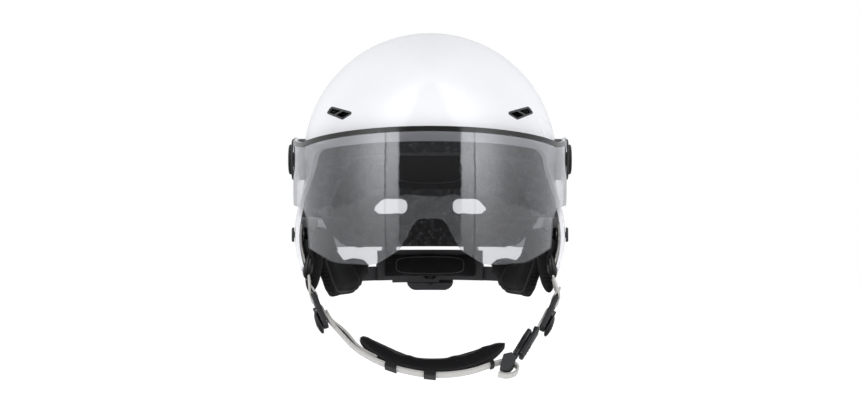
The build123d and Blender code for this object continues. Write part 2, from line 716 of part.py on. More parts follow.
# Two rivets a side hold the webbing to the ear flap, each with a washer inside
for name, s in SIDES.items():
    with BuildPart() as rivets:
        for y in (FRONT_RIVET_Y, REAR_RIVET_Y):
            with BuildSketch(rivet_plane(y, s, -0.35)):
                Circle(RIVET_HEAD)
            extrude(amount=1.3)
            with BuildSketch(rivet_plane(y, s, -1.65)):
                Circle(RIVET_HEAD)
            extrude(amount=0.7, taper=45)
            with BuildSketch(rivet_plane(y, s, -0.5)):
                Circle(RIVET_SHANK)
            extrude(amount=-washer_depth(y) - 1.8)
    save(rivets.part, f"rivets_{name}")
    with BuildPart() as rivet_washers:
        for y in (FRONT_RIVET_Y, REAR_RIVET_Y):
            with BuildSketch(rivet_plane(y, s, washer_depth(y))):
                Circle(RIVET_HEAD)
                Circle(RIVET_SHANK + RUNNING_GAP, mode=Mode.SUBTRACT)
            extrude(amount=-1.0)
    save(rivet_washers.part, f"rivet_washers_{name}")

# Chin strap, from the right divider's inner face to the buckle's webbing bar
right_middle = strap_plane(*DIVIDERS["right"])
left_middle = strap_plane(*DIVIDERS["left"])
CHIN_PATH = [
    along(right_middle, -6, inner_face), along(right_middle, 7, inner_face), (-71, -27), (-60.5, -39),
    (-43, -49.8), (-18, -58.8), (8, -61.6), (32, -58.6), (50, -52), (61.5, -49.0),
]
CHIN_RADII = [20, 40, 60, 60, 90, 90, 60, 30]
chin_strap = web(strap_plane(), CHIN_PATH, CHIN_RADII)
save(chin_strap, "chin_strap")
chin_strap_space = web(
    strap_plane(), CHIN_PATH, CHIN_RADII, WEB_WIDTH + 2 * FIT_GAP, WEB_THICK + 2 * FIT_GAP
)

# Buckle: a magnetic slide buckle; its halves part along the strap plane's normal
BUCKLE_AT = (75.2, -36.0, 58.5)
buckle = strap_plane(*BUCKLE_AT)
HALF_GAP = 0.2
HALF_THICK = 4.0
STOP_WALL = 1.6
MAGNET_RADIUS = 3.6
MAGNET_THICK = 1.3
MAGNET_X = 7.6
back_end = -BUCKLE_WIDTH / 2
BASE_X = 2.2
BASE_LENGTH = 26.0
SLIDE_X = -1.4
SLIDE_LENGTH = 24.0
BOSS_X = -2.6


def tongue(grow):
    """The slide's dovetail, grown by a clearance for its groove."""
    with BuildSketch(buckle) as outline:
        with BuildLine():
            Polyline(
                (-6 - grow, 1), (-6 - grow, -0.6), (-7.5 - grow, -2.2 - grow), (3 + grow, -2.2 - grow),
                (1.5 + grow, -0.6), (1.5 + grow, 1), close=True,
            )
        make_face()
    return outline.sketch_local


lower_end = along(buckle, 15.8, -HALF_GAP - HALF_THICK / 2)
lower_strap = web(
    strap_plane(),
    [along(left_middle, -6, -inner_face), along(left_middle, 5, -inner_face), lower_end],
    [10],
)
save(lower_strap, "lower_strap_left")

with BuildPart() as buckle_base:
    with BuildSketch(buckle):
        with Locations((BASE_X, -HALF_GAP - HALF_THICK / 2)):
            RectangleRounded(BASE_LENGTH, HALF_THICK, 1.4)
    extrude(amount=BUCKLE_WIDTH / 2, both=True)
    with BuildSketch(buckle.offset(back_end + STOP_WALL)):
        add(tongue(HALF_GAP))
    extrude(amount=BUCKLE_WIDTH, mode=Mode.SUBTRACT)
    with BuildSketch(Plane(origin=buckle.from_local_coords((MAGNET_X, -HALF_GAP, 0)), z_dir=-buckle.y_dir)):
        Circle(MAGNET_RADIUS + RUNNING_GAP)
    extrude(amount=MAGNET_THICK + 0.4, mode=Mode.SUBTRACT)
save(buckle_base.part, "buckle_base")

with BuildPart() as buckle_slide:
    with BuildSketch(buckle):
        with Locations((SLIDE_X, HALF_GAP + HALF_THICK / 2)):
            RectangleRounded(SLIDE_LENGTH, HALF_THICK, 1.4)
    extrude(amount=BUCKLE_WIDTH / 2, both=True)
    with BuildSketch(buckle.offset(back_end + STOP_WALL + HALF_GAP)):
        add(tongue(0))
    extrude(amount=BUCKLE_WIDTH - STOP_WALL - HALF_GAP)
    with BuildSketch(buckle.offset(BUCKLE_WIDTH / 2 - 0.5)):
        with Locations((BOSS_X, HALF_GAP + HALF_THICK / 2)):
            Ellipse(7.5, 1.7)
    extrude(amount=1.9)
    with BuildSketch(Plane(origin=buckle.from_local_coords((MAGNET_X, HALF_GAP, 0)), z_dir=buckle.y_dir)):
        Circle(MAGNET_RADIUS + RUNNING_GAP)
    extrude(amount=MAGNET_THICK + 0.4, mode=Mode.SUBTRACT)
save(buckle_slide.part, "buckle_slide")

for name, facing in (("base", -1), ("slide", 1)):
    seat = buckle.from_local_coords((MAGNET_X, facing * (HALF_GAP + 0.4), 0))
    with BuildPart() as magnet:
        with BuildSketch(Plane(origin=seat, z_dir=buckle.y_dir * facing)):
            Circle(MAGNET_RADIUS)
        extrude(amount=MAGNET_THICK)
    save(magnet.part, f"buckle_magnet_{name}")

with BuildPart() as strap_lock:
    with BuildSketch(strap_plane()):
        with BuildLine():
            FilletPolyline(
                (55, -54.5), (57.5, -46.2), (64.5, -44.6), (67.6, -48.6), (66, -54), (59, -61),
                radius=[2, 2, 1.5, 1.0, 2, 3], close=True,
            )
        make_face()
    extrude(amount=BUCKLE_WIDTH / 2, both=True)
    add(chin_strap_space, mode=Mode.SUBTRACT)
    with BuildSketch(buckle):
        with Locations((SLIDE_X, HALF_GAP + HALF_THICK / 2)):
            Rectangle(SLIDE_LENGTH + 2 * HALF_GAP, HALF_THICK + 2 * HALF_GAP)
    extrude(amount=20, both=True, mode=Mode.SUBTRACT)
save(strap_lock.part, "strap_lock")

with BuildPart() as chin_pad:
    with BuildSketch(strap_plane()):
        with BuildLine():
            under = Spline(
                (-56, -33), (-42, -47.2), (-18, -56.9), (8, -59.9), (32, -56.6), (46, -50.2), (56, -42.5)
            )
            over = Spline(
                (62.5, -35), (47, -38.2), (24, -46.3), (3, -49.3), (-14, -47.6), (-36, -38.3), (-58.5, -29)
            )
            Line(under @ 1, over @ 0)
            Line(over @ 1, under @ 0)
        make_face()
    extrude(amount=CHIN_PAD_WIDTH / 2, both=True)
save(chin_pad.part, "chin_pad")

LOOPS = {"pad_loop_right": (-30.5, -54.35, -19.8), "pad_loop_middle": (0.0, -60.75, -6.1)}
for name, spot in LOOPS.items():
    loop_plane = strap_plane(*spot)
    with BuildPart() as pad_loop:
        with BuildSketch(loop_plane):
            Rectangle(9.5, 5.2)
        extrude(amount=WEB_WIDTH / 2 + 2.2, both=True)
        with BuildSketch(loop_plane):
            with Locations((0, 2)):
                Rectangle(20, 6.4)
        extrude(amount=WEB_WIDTH / 2 + FIT_GAP, both=True, mode=Mode.SUBTRACT)
        with BuildSketch(loop_plane):
            with Locations((0, 5 + 1.0)):
                Rectangle(20, 10)
        extrude(amount=WEB_WIDTH, both=True, mode=Mode.SUBTRACT)
    save(pad_loop.part, name)

with BuildPart() as strap_keeper:
    add(web(strap_plane(), CHIN_PATH, CHIN_RADII, WEB_WIDTH + 3.2, WEB_THICK + 3.2))
    with BuildSketch(strap_plane(48.5, -52.5, 20)):
        Rectangle(3.4, 12)
    extrude(amount=20, both=True, mode=Mode.INTERSECT)
    add(chin_strap_space, mode=Mode.SUBTRACT)
save(strap_keeper.part, "strap_keeper")
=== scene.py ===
"""Looks of a visored snow-sports helmet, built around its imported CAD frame.

Everything is in metres in the frame's own axes: +Z to the crown, -Y to the face, +X to the wearer's left.
Each sub-assembly is a class that makes its pieces and dresses them; main builds them in order.
"""

from __future__ import annotations

import json
import logging
import math
from dataclasses import dataclass, field
from enum import Enum
from typing import Callable, Iterable, Sequence

import bmesh
import bpy
from mathutils import Matrix, Vector
from mathutils.bvhtree import BVHTree

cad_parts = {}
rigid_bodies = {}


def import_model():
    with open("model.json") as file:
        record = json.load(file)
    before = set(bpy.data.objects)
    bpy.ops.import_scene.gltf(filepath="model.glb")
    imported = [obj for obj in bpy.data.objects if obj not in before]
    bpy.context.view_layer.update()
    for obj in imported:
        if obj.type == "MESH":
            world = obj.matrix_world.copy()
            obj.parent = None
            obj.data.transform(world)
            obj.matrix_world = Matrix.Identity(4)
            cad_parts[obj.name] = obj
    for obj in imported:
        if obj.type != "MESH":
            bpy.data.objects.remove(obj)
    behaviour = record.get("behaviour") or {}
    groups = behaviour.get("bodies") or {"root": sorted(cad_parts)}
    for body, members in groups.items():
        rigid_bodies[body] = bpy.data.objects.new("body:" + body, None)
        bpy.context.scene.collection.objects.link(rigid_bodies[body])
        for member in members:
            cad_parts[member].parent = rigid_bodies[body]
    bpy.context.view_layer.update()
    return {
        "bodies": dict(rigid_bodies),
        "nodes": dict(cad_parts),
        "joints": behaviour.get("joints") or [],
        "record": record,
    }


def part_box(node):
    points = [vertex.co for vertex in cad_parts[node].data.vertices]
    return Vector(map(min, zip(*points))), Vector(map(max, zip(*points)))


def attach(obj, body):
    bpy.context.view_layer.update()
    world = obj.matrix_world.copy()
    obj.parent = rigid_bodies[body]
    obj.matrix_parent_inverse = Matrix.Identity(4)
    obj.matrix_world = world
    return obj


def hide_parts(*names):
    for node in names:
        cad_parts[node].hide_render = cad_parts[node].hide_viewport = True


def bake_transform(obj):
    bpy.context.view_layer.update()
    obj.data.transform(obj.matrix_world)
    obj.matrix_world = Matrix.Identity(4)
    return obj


LOG = logging.getLogger("helmet")
MM = 0.001
LENS_TINT = (0.68, 0.685, 0.71, 1.0)
LENS_IOR = 1.85
RUB_COLOUR = (0.09, 0.09, 0.095, 1.0)
BUMP_DISTANCE = 0.0004
FLOOR_Z = -0.75
FLOOR_GLOW = 0.62
DIFFUSE_DIMMING = 0.62
FILL_DISTANCE = 2.0
FEWEST_HITS = 6
EDGE_ROLL = 0.5
EDGE_ANGLE = 50
SECOND_LAYER_WIDTH = 15.6
TACK_LIFT = 0.95
KNOB_RIBS = 32
COVER_TICKS = 24
DIAL_SPOKES = 12

Point = tuple[float, float]
Piece = bpy.types.Object
Node = bpy.types.Node
Socket = bpy.types.NodeSocket
Mesh = bmesh.types.BMesh
Colour = tuple[float, float, float]


class Side(Enum):
    """The wearer's sides."""

    LEFT = 1
    RIGHT = -1

    @property
    def word(self) -> str:
        """The side's name as the CAD nodes spell it."""
        return self.name.lower()


class Bump(Enum):
    """Surface grains that a finish can carry."""

    GRAIN = "grain"
    WEAVE = "weave"
    KNIT = "knit"
    MESH = "mesh"
    BEADS = "beads"
    BRUSHED = "brushed"


@dataclass(frozen=True)
class Finish:
    """One material's plain facts."""

    name: str
    slot: str
    colour: Colour
    second: Colour
    bump: Bump
    scale: float
    depth: float
    roughness: float
    metallic: float = 0.0
    coat: float = 0.0
    coat_roughness: float = 0.05
    sheen: float = 0.0
    specular: float = 0.5
    wear: float = 0.0


SHELL = Finish(
    "shell_gloss_white", "shell_white", (0.83, 0.83, 0.85), (0.80, 0.80, 0.82), Bump.GRAIN, 260.0, 0.012,
    0.24, coat=0.4, coat_roughness=0.04)
FOAM = Finish(
    "liner_bead_foam", "foam_grey", (0.030, 0.030, 0.032), (0.10, 0.10, 0.105), Bump.BEADS, 300.0, 0.35, 0.78,
    specular=0.3)
MOULDED = Finish(
    "moulded_black", "black_plastic", (0.0055, 0.0055, 0.006), (0.010, 0.010, 0.0105), Bump.GRAIN, 900.0,
    0.10, 0.45, specular=0.35, wear=0.35)
SATIN = Finish(
    "satin_black", "black_plastic", (0.0055, 0.0055, 0.006), (0.010, 0.010, 0.0105), Bump.GRAIN, 1400.0, 0.05,
    0.30, specular=0.45, wear=0.25)
RUBBER = Finish(
    "trim_rubber", "black_rubber", (0.008, 0.0075, 0.007), (0.012, 0.0115, 0.011), Bump.GRAIN, 1100.0, 0.06,
    0.14)
LINING = Finish(
    "brushed_lining", "black_fabric", (0.004, 0.004, 0.0045), (0.012, 0.012, 0.013), Bump.KNIT, 1.0, 0.5,
    0.95, sheen=0.06, specular=0.15)
SPACER = Finish(
    "perforated_mesh", "mesh_fabric", (0.003, 0.003, 0.0033), (0.022, 0.022, 0.024), Bump.MESH, 1.0, 0.8,
    0.85, sheen=0.05, specular=0.2)
WEBBING = Finish(
    "woven_webbing", "webbing", (0.60, 0.59, 0.57), (0.36, 0.35, 0.33), Bump.WEAVE, 1.0, 0.6, 0.82, sheen=0.1,
    specular=0.25)
THREAD = Finish(
    "sewing_thread", "webbing", (0.55, 0.53, 0.49), (0.42, 0.405, 0.37), Bump.GRAIN, 2500.0, 0.2,
    0.7, sheen=0.1)
DARK_THREAD = Finish(
    "dark_thread", "black_fabric", (0.018, 0.018, 0.019), (0.03, 0.03, 0.031), Bump.GRAIN, 2500.0, 0.2, 0.7,
    sheen=0.1)
STEEL = Finish(
    "plated_steel", "steel", (0.58, 0.58, 0.57), (0.5, 0.5, 0.49), Bump.BRUSHED, 800.0, 0.08,
    0.28, metallic=1.0)
ELASTIC = Finish(
    "dark_elastic", "black_fabric", (0.008, 0.008, 0.0085), (0.018, 0.018, 0.0185), Bump.KNIT, 1.3, 0.5, 0.85,
    sheen=0.08, specular=0.25)


class Graph:
    """A thin helper around one node tree."""

    def __init__(self, tree: bpy.types.NodeTree) -> None:
        """Keep the tree that nodes go into.

        Args:
            tree: a material's or a group's node tree.
        """
        self.tree = tree

    def add(self, kind: str, **values: object) -> Node:
        """Add one node and set its properties.

        Args:
            kind: Blender's node type.
            **values: attributes of the node.

        Returns:
            The new node.
        """
        node = self.tree.nodes.new(kind)
        for key, value in values.items():
            setattr(node, key, value)
        return node

    def link(self, source: Socket, target: Socket) -> None:
        """Join an output to an input."""
        self.tree.links.new(source, target)

    def math(self, operation: str, first: object, second: object = 0.0) -> Socket:
        """A maths node on sockets or numbers.

        Args:
            operation: Blender's name of the operation.
            first: a socket or a number.
            second: a socket or a number.

        Returns:
            The node's output.
        """
        node = self.add("ShaderNodeMath", operation=operation)
        for slot, value in zip(node.inputs, (first, second)):
            if isinstance(value, Socket):
                self.link(value, slot)
            else:
                slot.default_value = float(value)
        return node.outputs[0]

    def times(self, first: object, second: object) -> Socket:
        """The product of two sockets or numbers."""
        return self.math("MULTIPLY", first, second)

    def plus(self, first: object, second: object) -> Socket:
        """The sum of two sockets or numbers."""
        return self.math("ADD", first, second)

    def split(self, vector: Socket) -> list[Socket]:
        """A vector's X, Y and Z."""
        node = self.add("ShaderNodeSeparateXYZ")
        self.link(vector, node.inputs[0])
        return list(node.outputs)


def set_inputs(node: Node, **values: object) -> None:
    """Set a node's inputs; an input's name has underscores for its spaces."""
    for name, value in values.items():
        node.inputs[name.replace("_", " ")].default_value = value


def blank_material(name: str) -> tuple[bpy.types.Material, Graph, Node]:
    """Start a material.

    Args:
        name: the material's name.

    Returns:
        The material, its nodes and its shader.
    """
    material = bpy.data.materials.new(name)
    material.use_nodes = True
    return material, Graph(material.node_tree), material.node_tree.nodes["Principled BSDF"]


class ShaderGroups:
    """Node groups that several materials share: each puts out a height and a mask."""

    def __init__(self) -> None:
        """Start with no group built."""
        self.built: dict[Bump, bpy.types.NodeTree] = {}

    def get(self, bump: Bump) -> bpy.types.NodeTree:
        """The group for one grain, built the first time that it's asked for."""
        if bump not in self.built:
            self.built[bump] = self._build(bump)
        return self.built[bump]

    def _build(self, bump: Bump) -> bpy.types.NodeTree:
        """Build one group.

        Args:
            bump: the grain it makes.

        Returns:
            A node group with a Vector and a Scale in, and a Height and a Mask out.
        """
        tree = bpy.data.node_groups.new(f"{bump.value}_pattern", "ShaderNodeTree")
        tree.interface.new_socket("Vector", in_out="INPUT", socket_type="NodeSocketVector")
        size = tree.interface.new_socket("Scale", in_out="INPUT", socket_type="NodeSocketFloat")
        size.default_value = 1.0
        tree.interface.new_socket("Height", in_out="OUTPUT", socket_type="NodeSocketFloat")
        tree.interface.new_socket("Mask", in_out="OUTPUT", socket_type="NodeSocketFloat")
        graph = Graph(tree)
        source = graph.add("NodeGroupInput")
        sink = graph.add("NodeGroupOutput")
        makers: dict[Bump, Callable[[Graph, Node], tuple]] = {
            Bump.GRAIN: self._grain,
            Bump.BRUSHED: self._brushed,
            Bump.BEADS: self._beads,
            Bump.WEAVE: self._weave,
            Bump.KNIT: self._knit,
            Bump.MESH: self._mesh,
        }
        height, mask = makers[bump](graph, source)
        graph.link(height, sink.inputs["Height"])
        graph.link(mask, sink.inputs["Mask"])
        return tree

    @staticmethod
    def _noise(graph: Graph, source: Node, detail: float, factor: float = 1.0) -> Node:
        """A noise texture on the group's own vector and scale."""
        noise = graph.add("ShaderNodeTexNoise")
        noise.inputs["Detail"].default_value = detail
        graph.link(source.outputs["Vector"], noise.inputs["Vector"])
        graph.link(graph.times(source.outputs["Scale"], factor), noise.inputs["Scale"])
        return noise

    def _grain(self, graph: Graph, source: Node) -> tuple:
        """Fine moulding grain, with slow variation as its mask."""
        fine = self._noise(graph, source, 3.0)
        broad = self._noise(graph, source, 2.0, 0.06)
        return fine.outputs["Fac"], broad.outputs["Fac"]

    def _brushed(self, graph: Graph, source: Node) -> tuple:
        """Short scratches along one direction."""
        stretch = graph.add("ShaderNodeVectorMath", operation="MULTIPLY")
        stretch.inputs[1].default_value = (1.0, 1.0, 0.05)
        graph.link(source.outputs["Vector"], stretch.inputs[0])
        noise = graph.add("ShaderNodeTexNoise")
        noise.inputs["Detail"].default_value = 4.0
        graph.link(stretch.outputs[0], noise.inputs["Vector"])
        graph.link(source.outputs["Scale"], noise.inputs["Scale"])
        return noise.outputs["Fac"], noise.outputs["Fac"]

    def _beads(self, graph: Graph, source: Node) -> tuple:
        """Fused foam beads: round cells with dark seams, each a little lighter or darker."""
        cells = graph.add("ShaderNodeTexVoronoi", feature="F1")
        edges = graph.add("ShaderNodeTexVoronoi", feature="DISTANCE_TO_EDGE")
        for cell in (cells, edges):
            graph.link(source.outputs["Vector"], cell.inputs["Vector"])
            graph.link(source.outputs["Scale"], cell.inputs["Scale"])
        seam = graph.math("MINIMUM", graph.times(edges.outputs["Distance"], 6.0), 1.0)
        split = graph.add("ShaderNodeSeparateColor")
        graph.link(cells.outputs["Color"], split.inputs[0])
        tone = graph.times(graph.math("POWER", split.outputs[0], 2.0), seam)
        return seam, tone

    @staticmethod
    def _stripes(graph: Graph, source: Node, axis: int, per_unit: float) -> Socket:
        """A sine along one axis of the vector, from 0 to 1."""
        place = graph.times(graph.split(source.outputs["Vector"])[axis], per_unit)
        turns = graph.times(place, source.outputs["Scale"])
        wave = graph.math("SINE", graph.times(turns, 2 * math.pi))
        return graph.plus(graph.times(wave, 0.5), 0.5)

    def _weave(self, graph: Graph, source: Node) -> tuple:
        """Webbing: long warp ribs crossed by finer weft, on UVs in metres."""
        warp = self._stripes(graph, source, 1, 620.0)
        weft = self._stripes(graph, source, 0, 880.0)
        cross = graph.times(graph.math("POWER", warp, 0.6), graph.plus(graph.times(
            weft, 0.45), 0.55))
        noise = self._noise(graph, source, 2.0, 900.0)
        soft = graph.times(noise.outputs["Fac"], 0.35)
        return graph.plus(cross, soft), graph.times(cross, graph.plus(soft, 0.8))

    def _knit(self, graph: Graph, source: Node) -> tuple:
        """Brushed knit: short loops broken up by noise, on object coordinates."""
        loops = graph.add("ShaderNodeTexVoronoi", feature="F1")
        graph.link(source.outputs["Vector"], loops.inputs["Vector"])
        graph.link(graph.times(source.outputs["Scale"], 1250.0), loops.inputs["Scale"])
        fuzz = self._noise(graph, source, 4.0, 520.0)
        broad = self._noise(graph, source, 2.0, 45.0)
        round_loops = graph.times(loops.outputs["Distance"], 0.8)
        height = graph.plus(round_loops, fuzz.outputs["Fac"])
        return height, graph.times(broad.outputs["Fac"], fuzz.outputs["Fac"])

    def _mesh(self, graph: Graph, source: Node) -> tuple:
        """Spacer mesh: staggered round holes in the side view, over a fine knit."""
        _, y, z = graph.split(source.outputs["Vector"])
        pitch = graph.times(source.outputs["Scale"], 2 * math.pi / 0.0030)
        along = graph.math("COSINE", graph.times(y, pitch))
        up = graph.math("COSINE", graph.times(z, pitch))
        dots = graph.plus(graph.times(graph.times(along, up), 0.5), 0.5)
        hole = graph.math("MINIMUM", graph.math("MAXIMUM", graph.times(
            graph.math("SUBTRACT", 0.80, dots), 5.0), 0.0), 1.0)
        fuzz = self._noise(graph, source, 3.0, 900.0)
        height = graph.plus(hole, graph.times(fuzz.outputs["Fac"], 0.3))
        return height, graph.times(hole, fuzz.outputs["Fac"])


class Paintbox:
    """Makes each finish's material once."""

    def __init__(self) -> None:
        """Start with no material made."""
        self.groups = ShaderGroups()
        self.made: dict[str, bpy.types.Material] = {}

    def dress(self, piece: Piece, finish: Finish) -> None:
        """Give a piece one finish all over."""
        piece.data.materials.clear()
        piece.data.materials.append(self.material(finish))

    def material(self, finish: Finish) -> bpy.types.Material:
        """The material of a finish.

        Args:
            finish: what it looks like.

        Returns:
            The material, built on first use.
        """
        if finish.name in self.made:
            return self.made[finish.name]
        material, graph, shader = blank_material(finish.name)
        set_inputs(shader, Metallic=finish.metallic, Coat_Weight=finish.coat, Sheen_Weight=finish.sheen,
                   Coat_Roughness=finish.coat_roughness, Specular_IOR_Level=finish.specular,
                   Base_Color=(*finish.colour, 1.0), Roughness=finish.roughness)
        self._pattern(graph, shader, finish)
        self.made[finish.name] = material
        return material

    def _pattern(self, graph: Graph, shader: Node, finish: Finish) -> None:
        """Feed a finish's pattern into colour, roughness and normal."""
        place = graph.add("ShaderNodeTexCoord")
        pattern = graph.add("ShaderNodeGroup")
        pattern.node_tree = self.groups.get(finish.bump)
        follows_uv = finish.bump is Bump.WEAVE
        graph.link(place.outputs["UV" if follows_uv else "Object"], pattern.inputs["Vector"])
        pattern.inputs["Scale"].default_value = finish.scale
        blend = graph.add("ShaderNodeMix", data_type="RGBA")
        ends = (finish.second, finish.colour)
        if finish.bump in (Bump.BEADS, Bump.MESH, Bump.KNIT, Bump.BRUSHED):
            ends = (finish.colour, finish.second)
        for socket, colour in zip("AB", ends):
            blend.inputs[socket].default_value = (*colour, 1.0)
        graph.link(pattern.outputs["Mask"], blend.inputs["Factor"])
        colour = blend.outputs["Result"]
        if finish.wear > 0:
            colour = self._edge_wear(graph, colour, finish)
        graph.link(colour, shader.inputs["Base Color"])
        spread = graph.times(pattern.outputs["Mask"], 0.12)
        rough = graph.plus(spread, finish.roughness - 0.05)
        graph.link(rough, shader.inputs["Roughness"])
        bump = graph.add("ShaderNodeBump")
        set_inputs(bump, Strength=finish.depth, Distance=BUMP_DISTANCE)
        graph.link(pattern.outputs["Height"], bump.inputs["Height"])
        graph.link(bump.outputs["Normal"], shader.inputs["Normal"])

    @staticmethod
    def _edge_wear(graph: Graph, colour: Socket, finish: Finish) -> Socket:
        """Lighten a moulded part a little where its edges rub.

        Args:
            graph: the material's nodes.
            colour: the colour so far.
            finish: the finish, for how much wear.

        Returns:
            The colour with rubbed edges.
        """
        shape = graph.add("ShaderNodeNewGeometry")
        sharp = graph.times(graph.math("SUBTRACT", shape.outputs["Pointiness"], 0.52), 9.0)
        mask = graph.math("MINIMUM", graph.math("MAXIMUM", sharp, 0.0), finish.wear)
        rub = graph.add("ShaderNodeMix", data_type="RGBA")
        rub.inputs["B"].default_value = RUB_COLOUR
        graph.link(mask, rub.inputs["Factor"])
        graph.link(colour, rub.inputs["A"])
        return rub.outputs["Result"]

    def lens(self) -> bpy.types.Material:
        """The visor's smoke tint, faintly smeared."""
        if "visor_smoke" in self.made:
            return self.made["visor_smoke"]
        material, graph, shader = blank_material("visor_smoke")
        set_inputs(shader, Base_Color=LENS_TINT, Roughness=0.02, IOR=LENS_IOR, Transmission_Weight=1.0)
        place = graph.add("ShaderNodeTexCoord")
        smear = graph.add("ShaderNodeTexNoise")
        set_inputs(smear, Scale=22.0, Detail=5.0)
        graph.link(place.outputs["Object"], smear.inputs["Vector"])
        rough = graph.plus(graph.times(smear.outputs["Fac"], 0.03), 0.005)
        graph.link(rough, shader.inputs["Roughness"])
        self.made["visor_smoke"] = material
        return material


PAINT = Paintbox()


def new_piece(name: str, shape: Mesh) -> Piece:
    """Turn a bmesh into an object at the origin.

    Args:
        name: the piece's name.
        shape: its mesh, which is freed.

    Returns:
        The new object.
    """
    mesh = bpy.data.meshes.new(name)
    shape.to_mesh(mesh)
    shape.free()
    mesh.shade_smooth()
    piece = bpy.data.objects.new(name, mesh)
    bpy.context.scene.collection.objects.link(piece)
    LOG.info("piece %s: %d faces", name, len(mesh.polygons))
    return piece


def apply_modifiers(piece: Piece) -> None:
    """Bake a piece's modifiers into its mesh."""
    graph = bpy.context.evaluated_depsgraph_get()
    graph.update()
    done = bpy.data.meshes.new_from_object(piece.evaluated_get(graph), depsgraph=graph)
    piece.modifiers.clear()
    old = piece.data
    piece.data = done
    bpy.data.meshes.remove(old)


def finish_piece(piece: Piece, body: str, finish: Finish, *nodes: str) -> Piece:
    """Dress a piece, ride it on its body, and hide the CAD nodes it stands for.

    Args:
        piece: the object.
        body: the CAD body it moves with, or nothing for a piece that stays where it is.
        finish: its look.
        *nodes: CAD nodes it replaces.

    Returns:
        The same object.
    """
    PAINT.dress(piece, finish)
    if nodes:
        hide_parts(*nodes)
    if body:
        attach(piece, body)
    return piece


@dataclass
class StrapPlane:
    """The sloping plane that the chin harness hangs in."""

    tilt: float = 18.0
    y: float = -6.0
    z: float = -112.0

    @property
    def up(self) -> Vector:
        """The plane's upward direction."""
        turn = math.radians(self.tilt)
        return Vector((0, math.sin(turn), math.cos(turn)))

    @property
    def normal(self) -> Vector:
        """The plane's normal, towards the front."""
        turn = math.radians(self.tilt)
        return Vector((0, -math.cos(turn), math.sin(turn)))

    def at(self, u: float, v: float, out: float = 0.0) -> Vector:
        """A point of the plane, in metres, from (u, v, out) in millimetres."""
        return (Vector((u, self.y, self.z)) + self.up * v + self.normal * out) * MM


HANG = StrapPlane()


def soften(points: Sequence[Vector], rounds: int = 3) -> list[Vector]:
    """Cut the corners of an open path until it runs smoothly.

    Args:
        points: the path's corners.
        rounds: how many times its corners are cut.

    Returns:
        The smoother path, with the same ends.
    """
    path = list(points)
    for _ in range(rounds):
        cut = [path[0]]
        for first, second in zip(path, path[1:]):
            cut += [first.lerp(second, 0.25), first.lerp(second, 0.75)]
        cut.append(path[-1])
        path = cut
    return path


def grow(shape: Mesh, edges: Sequence[bmesh.types.BMEdge]) -> tuple[list, list]:
    """Extrude a row of edges in place.

    Args:
        shape: the mesh.
        edges: the row.

    Returns:
        The new row's edges and its points.
    """
    grown = bmesh.ops.extrude_edge_only(shape, edges=edges)["geom"]
    return [[g for g in grown if isinstance(g, kind)] for kind in (bmesh.types.BMEdge, bmesh.types.BMVert)]


@dataclass
class Ribbon:
    """A strip of webbing along a path; its width may turn from one direction to another on the way."""

    name: str
    path: Sequence[Vector]
    across: Vector
    across_end: Vector | None = None
    turn_from: float = 0.3
    turn_to: float = 0.8
    width: float = 16.0
    thick: float = 1.6
    rounds: int = 3
    columns: int = 8

    def direction(self, share: float) -> Vector:
        """The width's direction at a share of the strip's length."""
        if self.across_end is None:
            return self.across.normalized()
        turned = min(max((share - self.turn_from) / (self.turn_to - self.turn_from), 0.0), 1.0)
        return self.across.normalized().lerp(self.across_end.normalized(), turned).normalized()

    def build(self) -> Piece:
        """Make the strip.

        Returns:
            A closed mesh whose UVs are metres along and across the webbing.
        """
        path = soften(self.path, self.rounds)
        lengths = [0.0]
        for before, after in zip(path, path[1:]):
            lengths.append(lengths[-1] + (after - before).length)
        ways = [self.direction(length / lengths[-1]) for length in lengths]
        half = self.width * MM / 2
        shape = bmesh.new()
        uv = shape.loops.layers.uv.new("web")
        shares = [2 * k / self.columns - 1 for k in range(self.columns + 1)]
        row = [shape.verts.new(path[0] + ways[0] * half * share) for share in shares]
        edges = [shape.edges.new(pair) for pair in zip(row, row[1:])]
        for station in range(1, len(path)):
            edges, verts = grow(shape, edges)
            for vert in verts:
                offset = (vert.co - path[station - 1]).dot(ways[station - 1])
                vert.co = path[station] + ways[station] * offset
        for face in shape.faces:
            for loop in face.loops:
                spot = loop.vert.co
                near = min(range(len(path)), key=lambda k: self._miss(spot - path[k], ways[k]))
                loop[uv].uv = (lengths[near], (spot - path[near]).dot(ways[near]))
        bmesh.ops.recalc_face_normals(shape, faces=shape.faces)
        piece = new_piece(self.name, shape)
        solid = piece.modifiers.new("thickness", "SOLIDIFY")
        solid.thickness = self.thick * MM
        solid.offset = 0.0
        edge = piece.modifiers.new("rolled_edge", "BEVEL")
        edge.width = EDGE_ROLL * MM
        edge.segments = 3
        edge.limit_method = "ANGLE"
        edge.angle_limit = math.radians(EDGE_ANGLE)
        apply_modifiers(piece)
        piece.data.shade_smooth()
        return piece

    @staticmethod
    def _miss(gap: Vector, way: Vector) -> float:
        """How far a point is from a station, leaving out the width's direction."""
        return gap.dot(gap) - gap.dot(way) ** 2


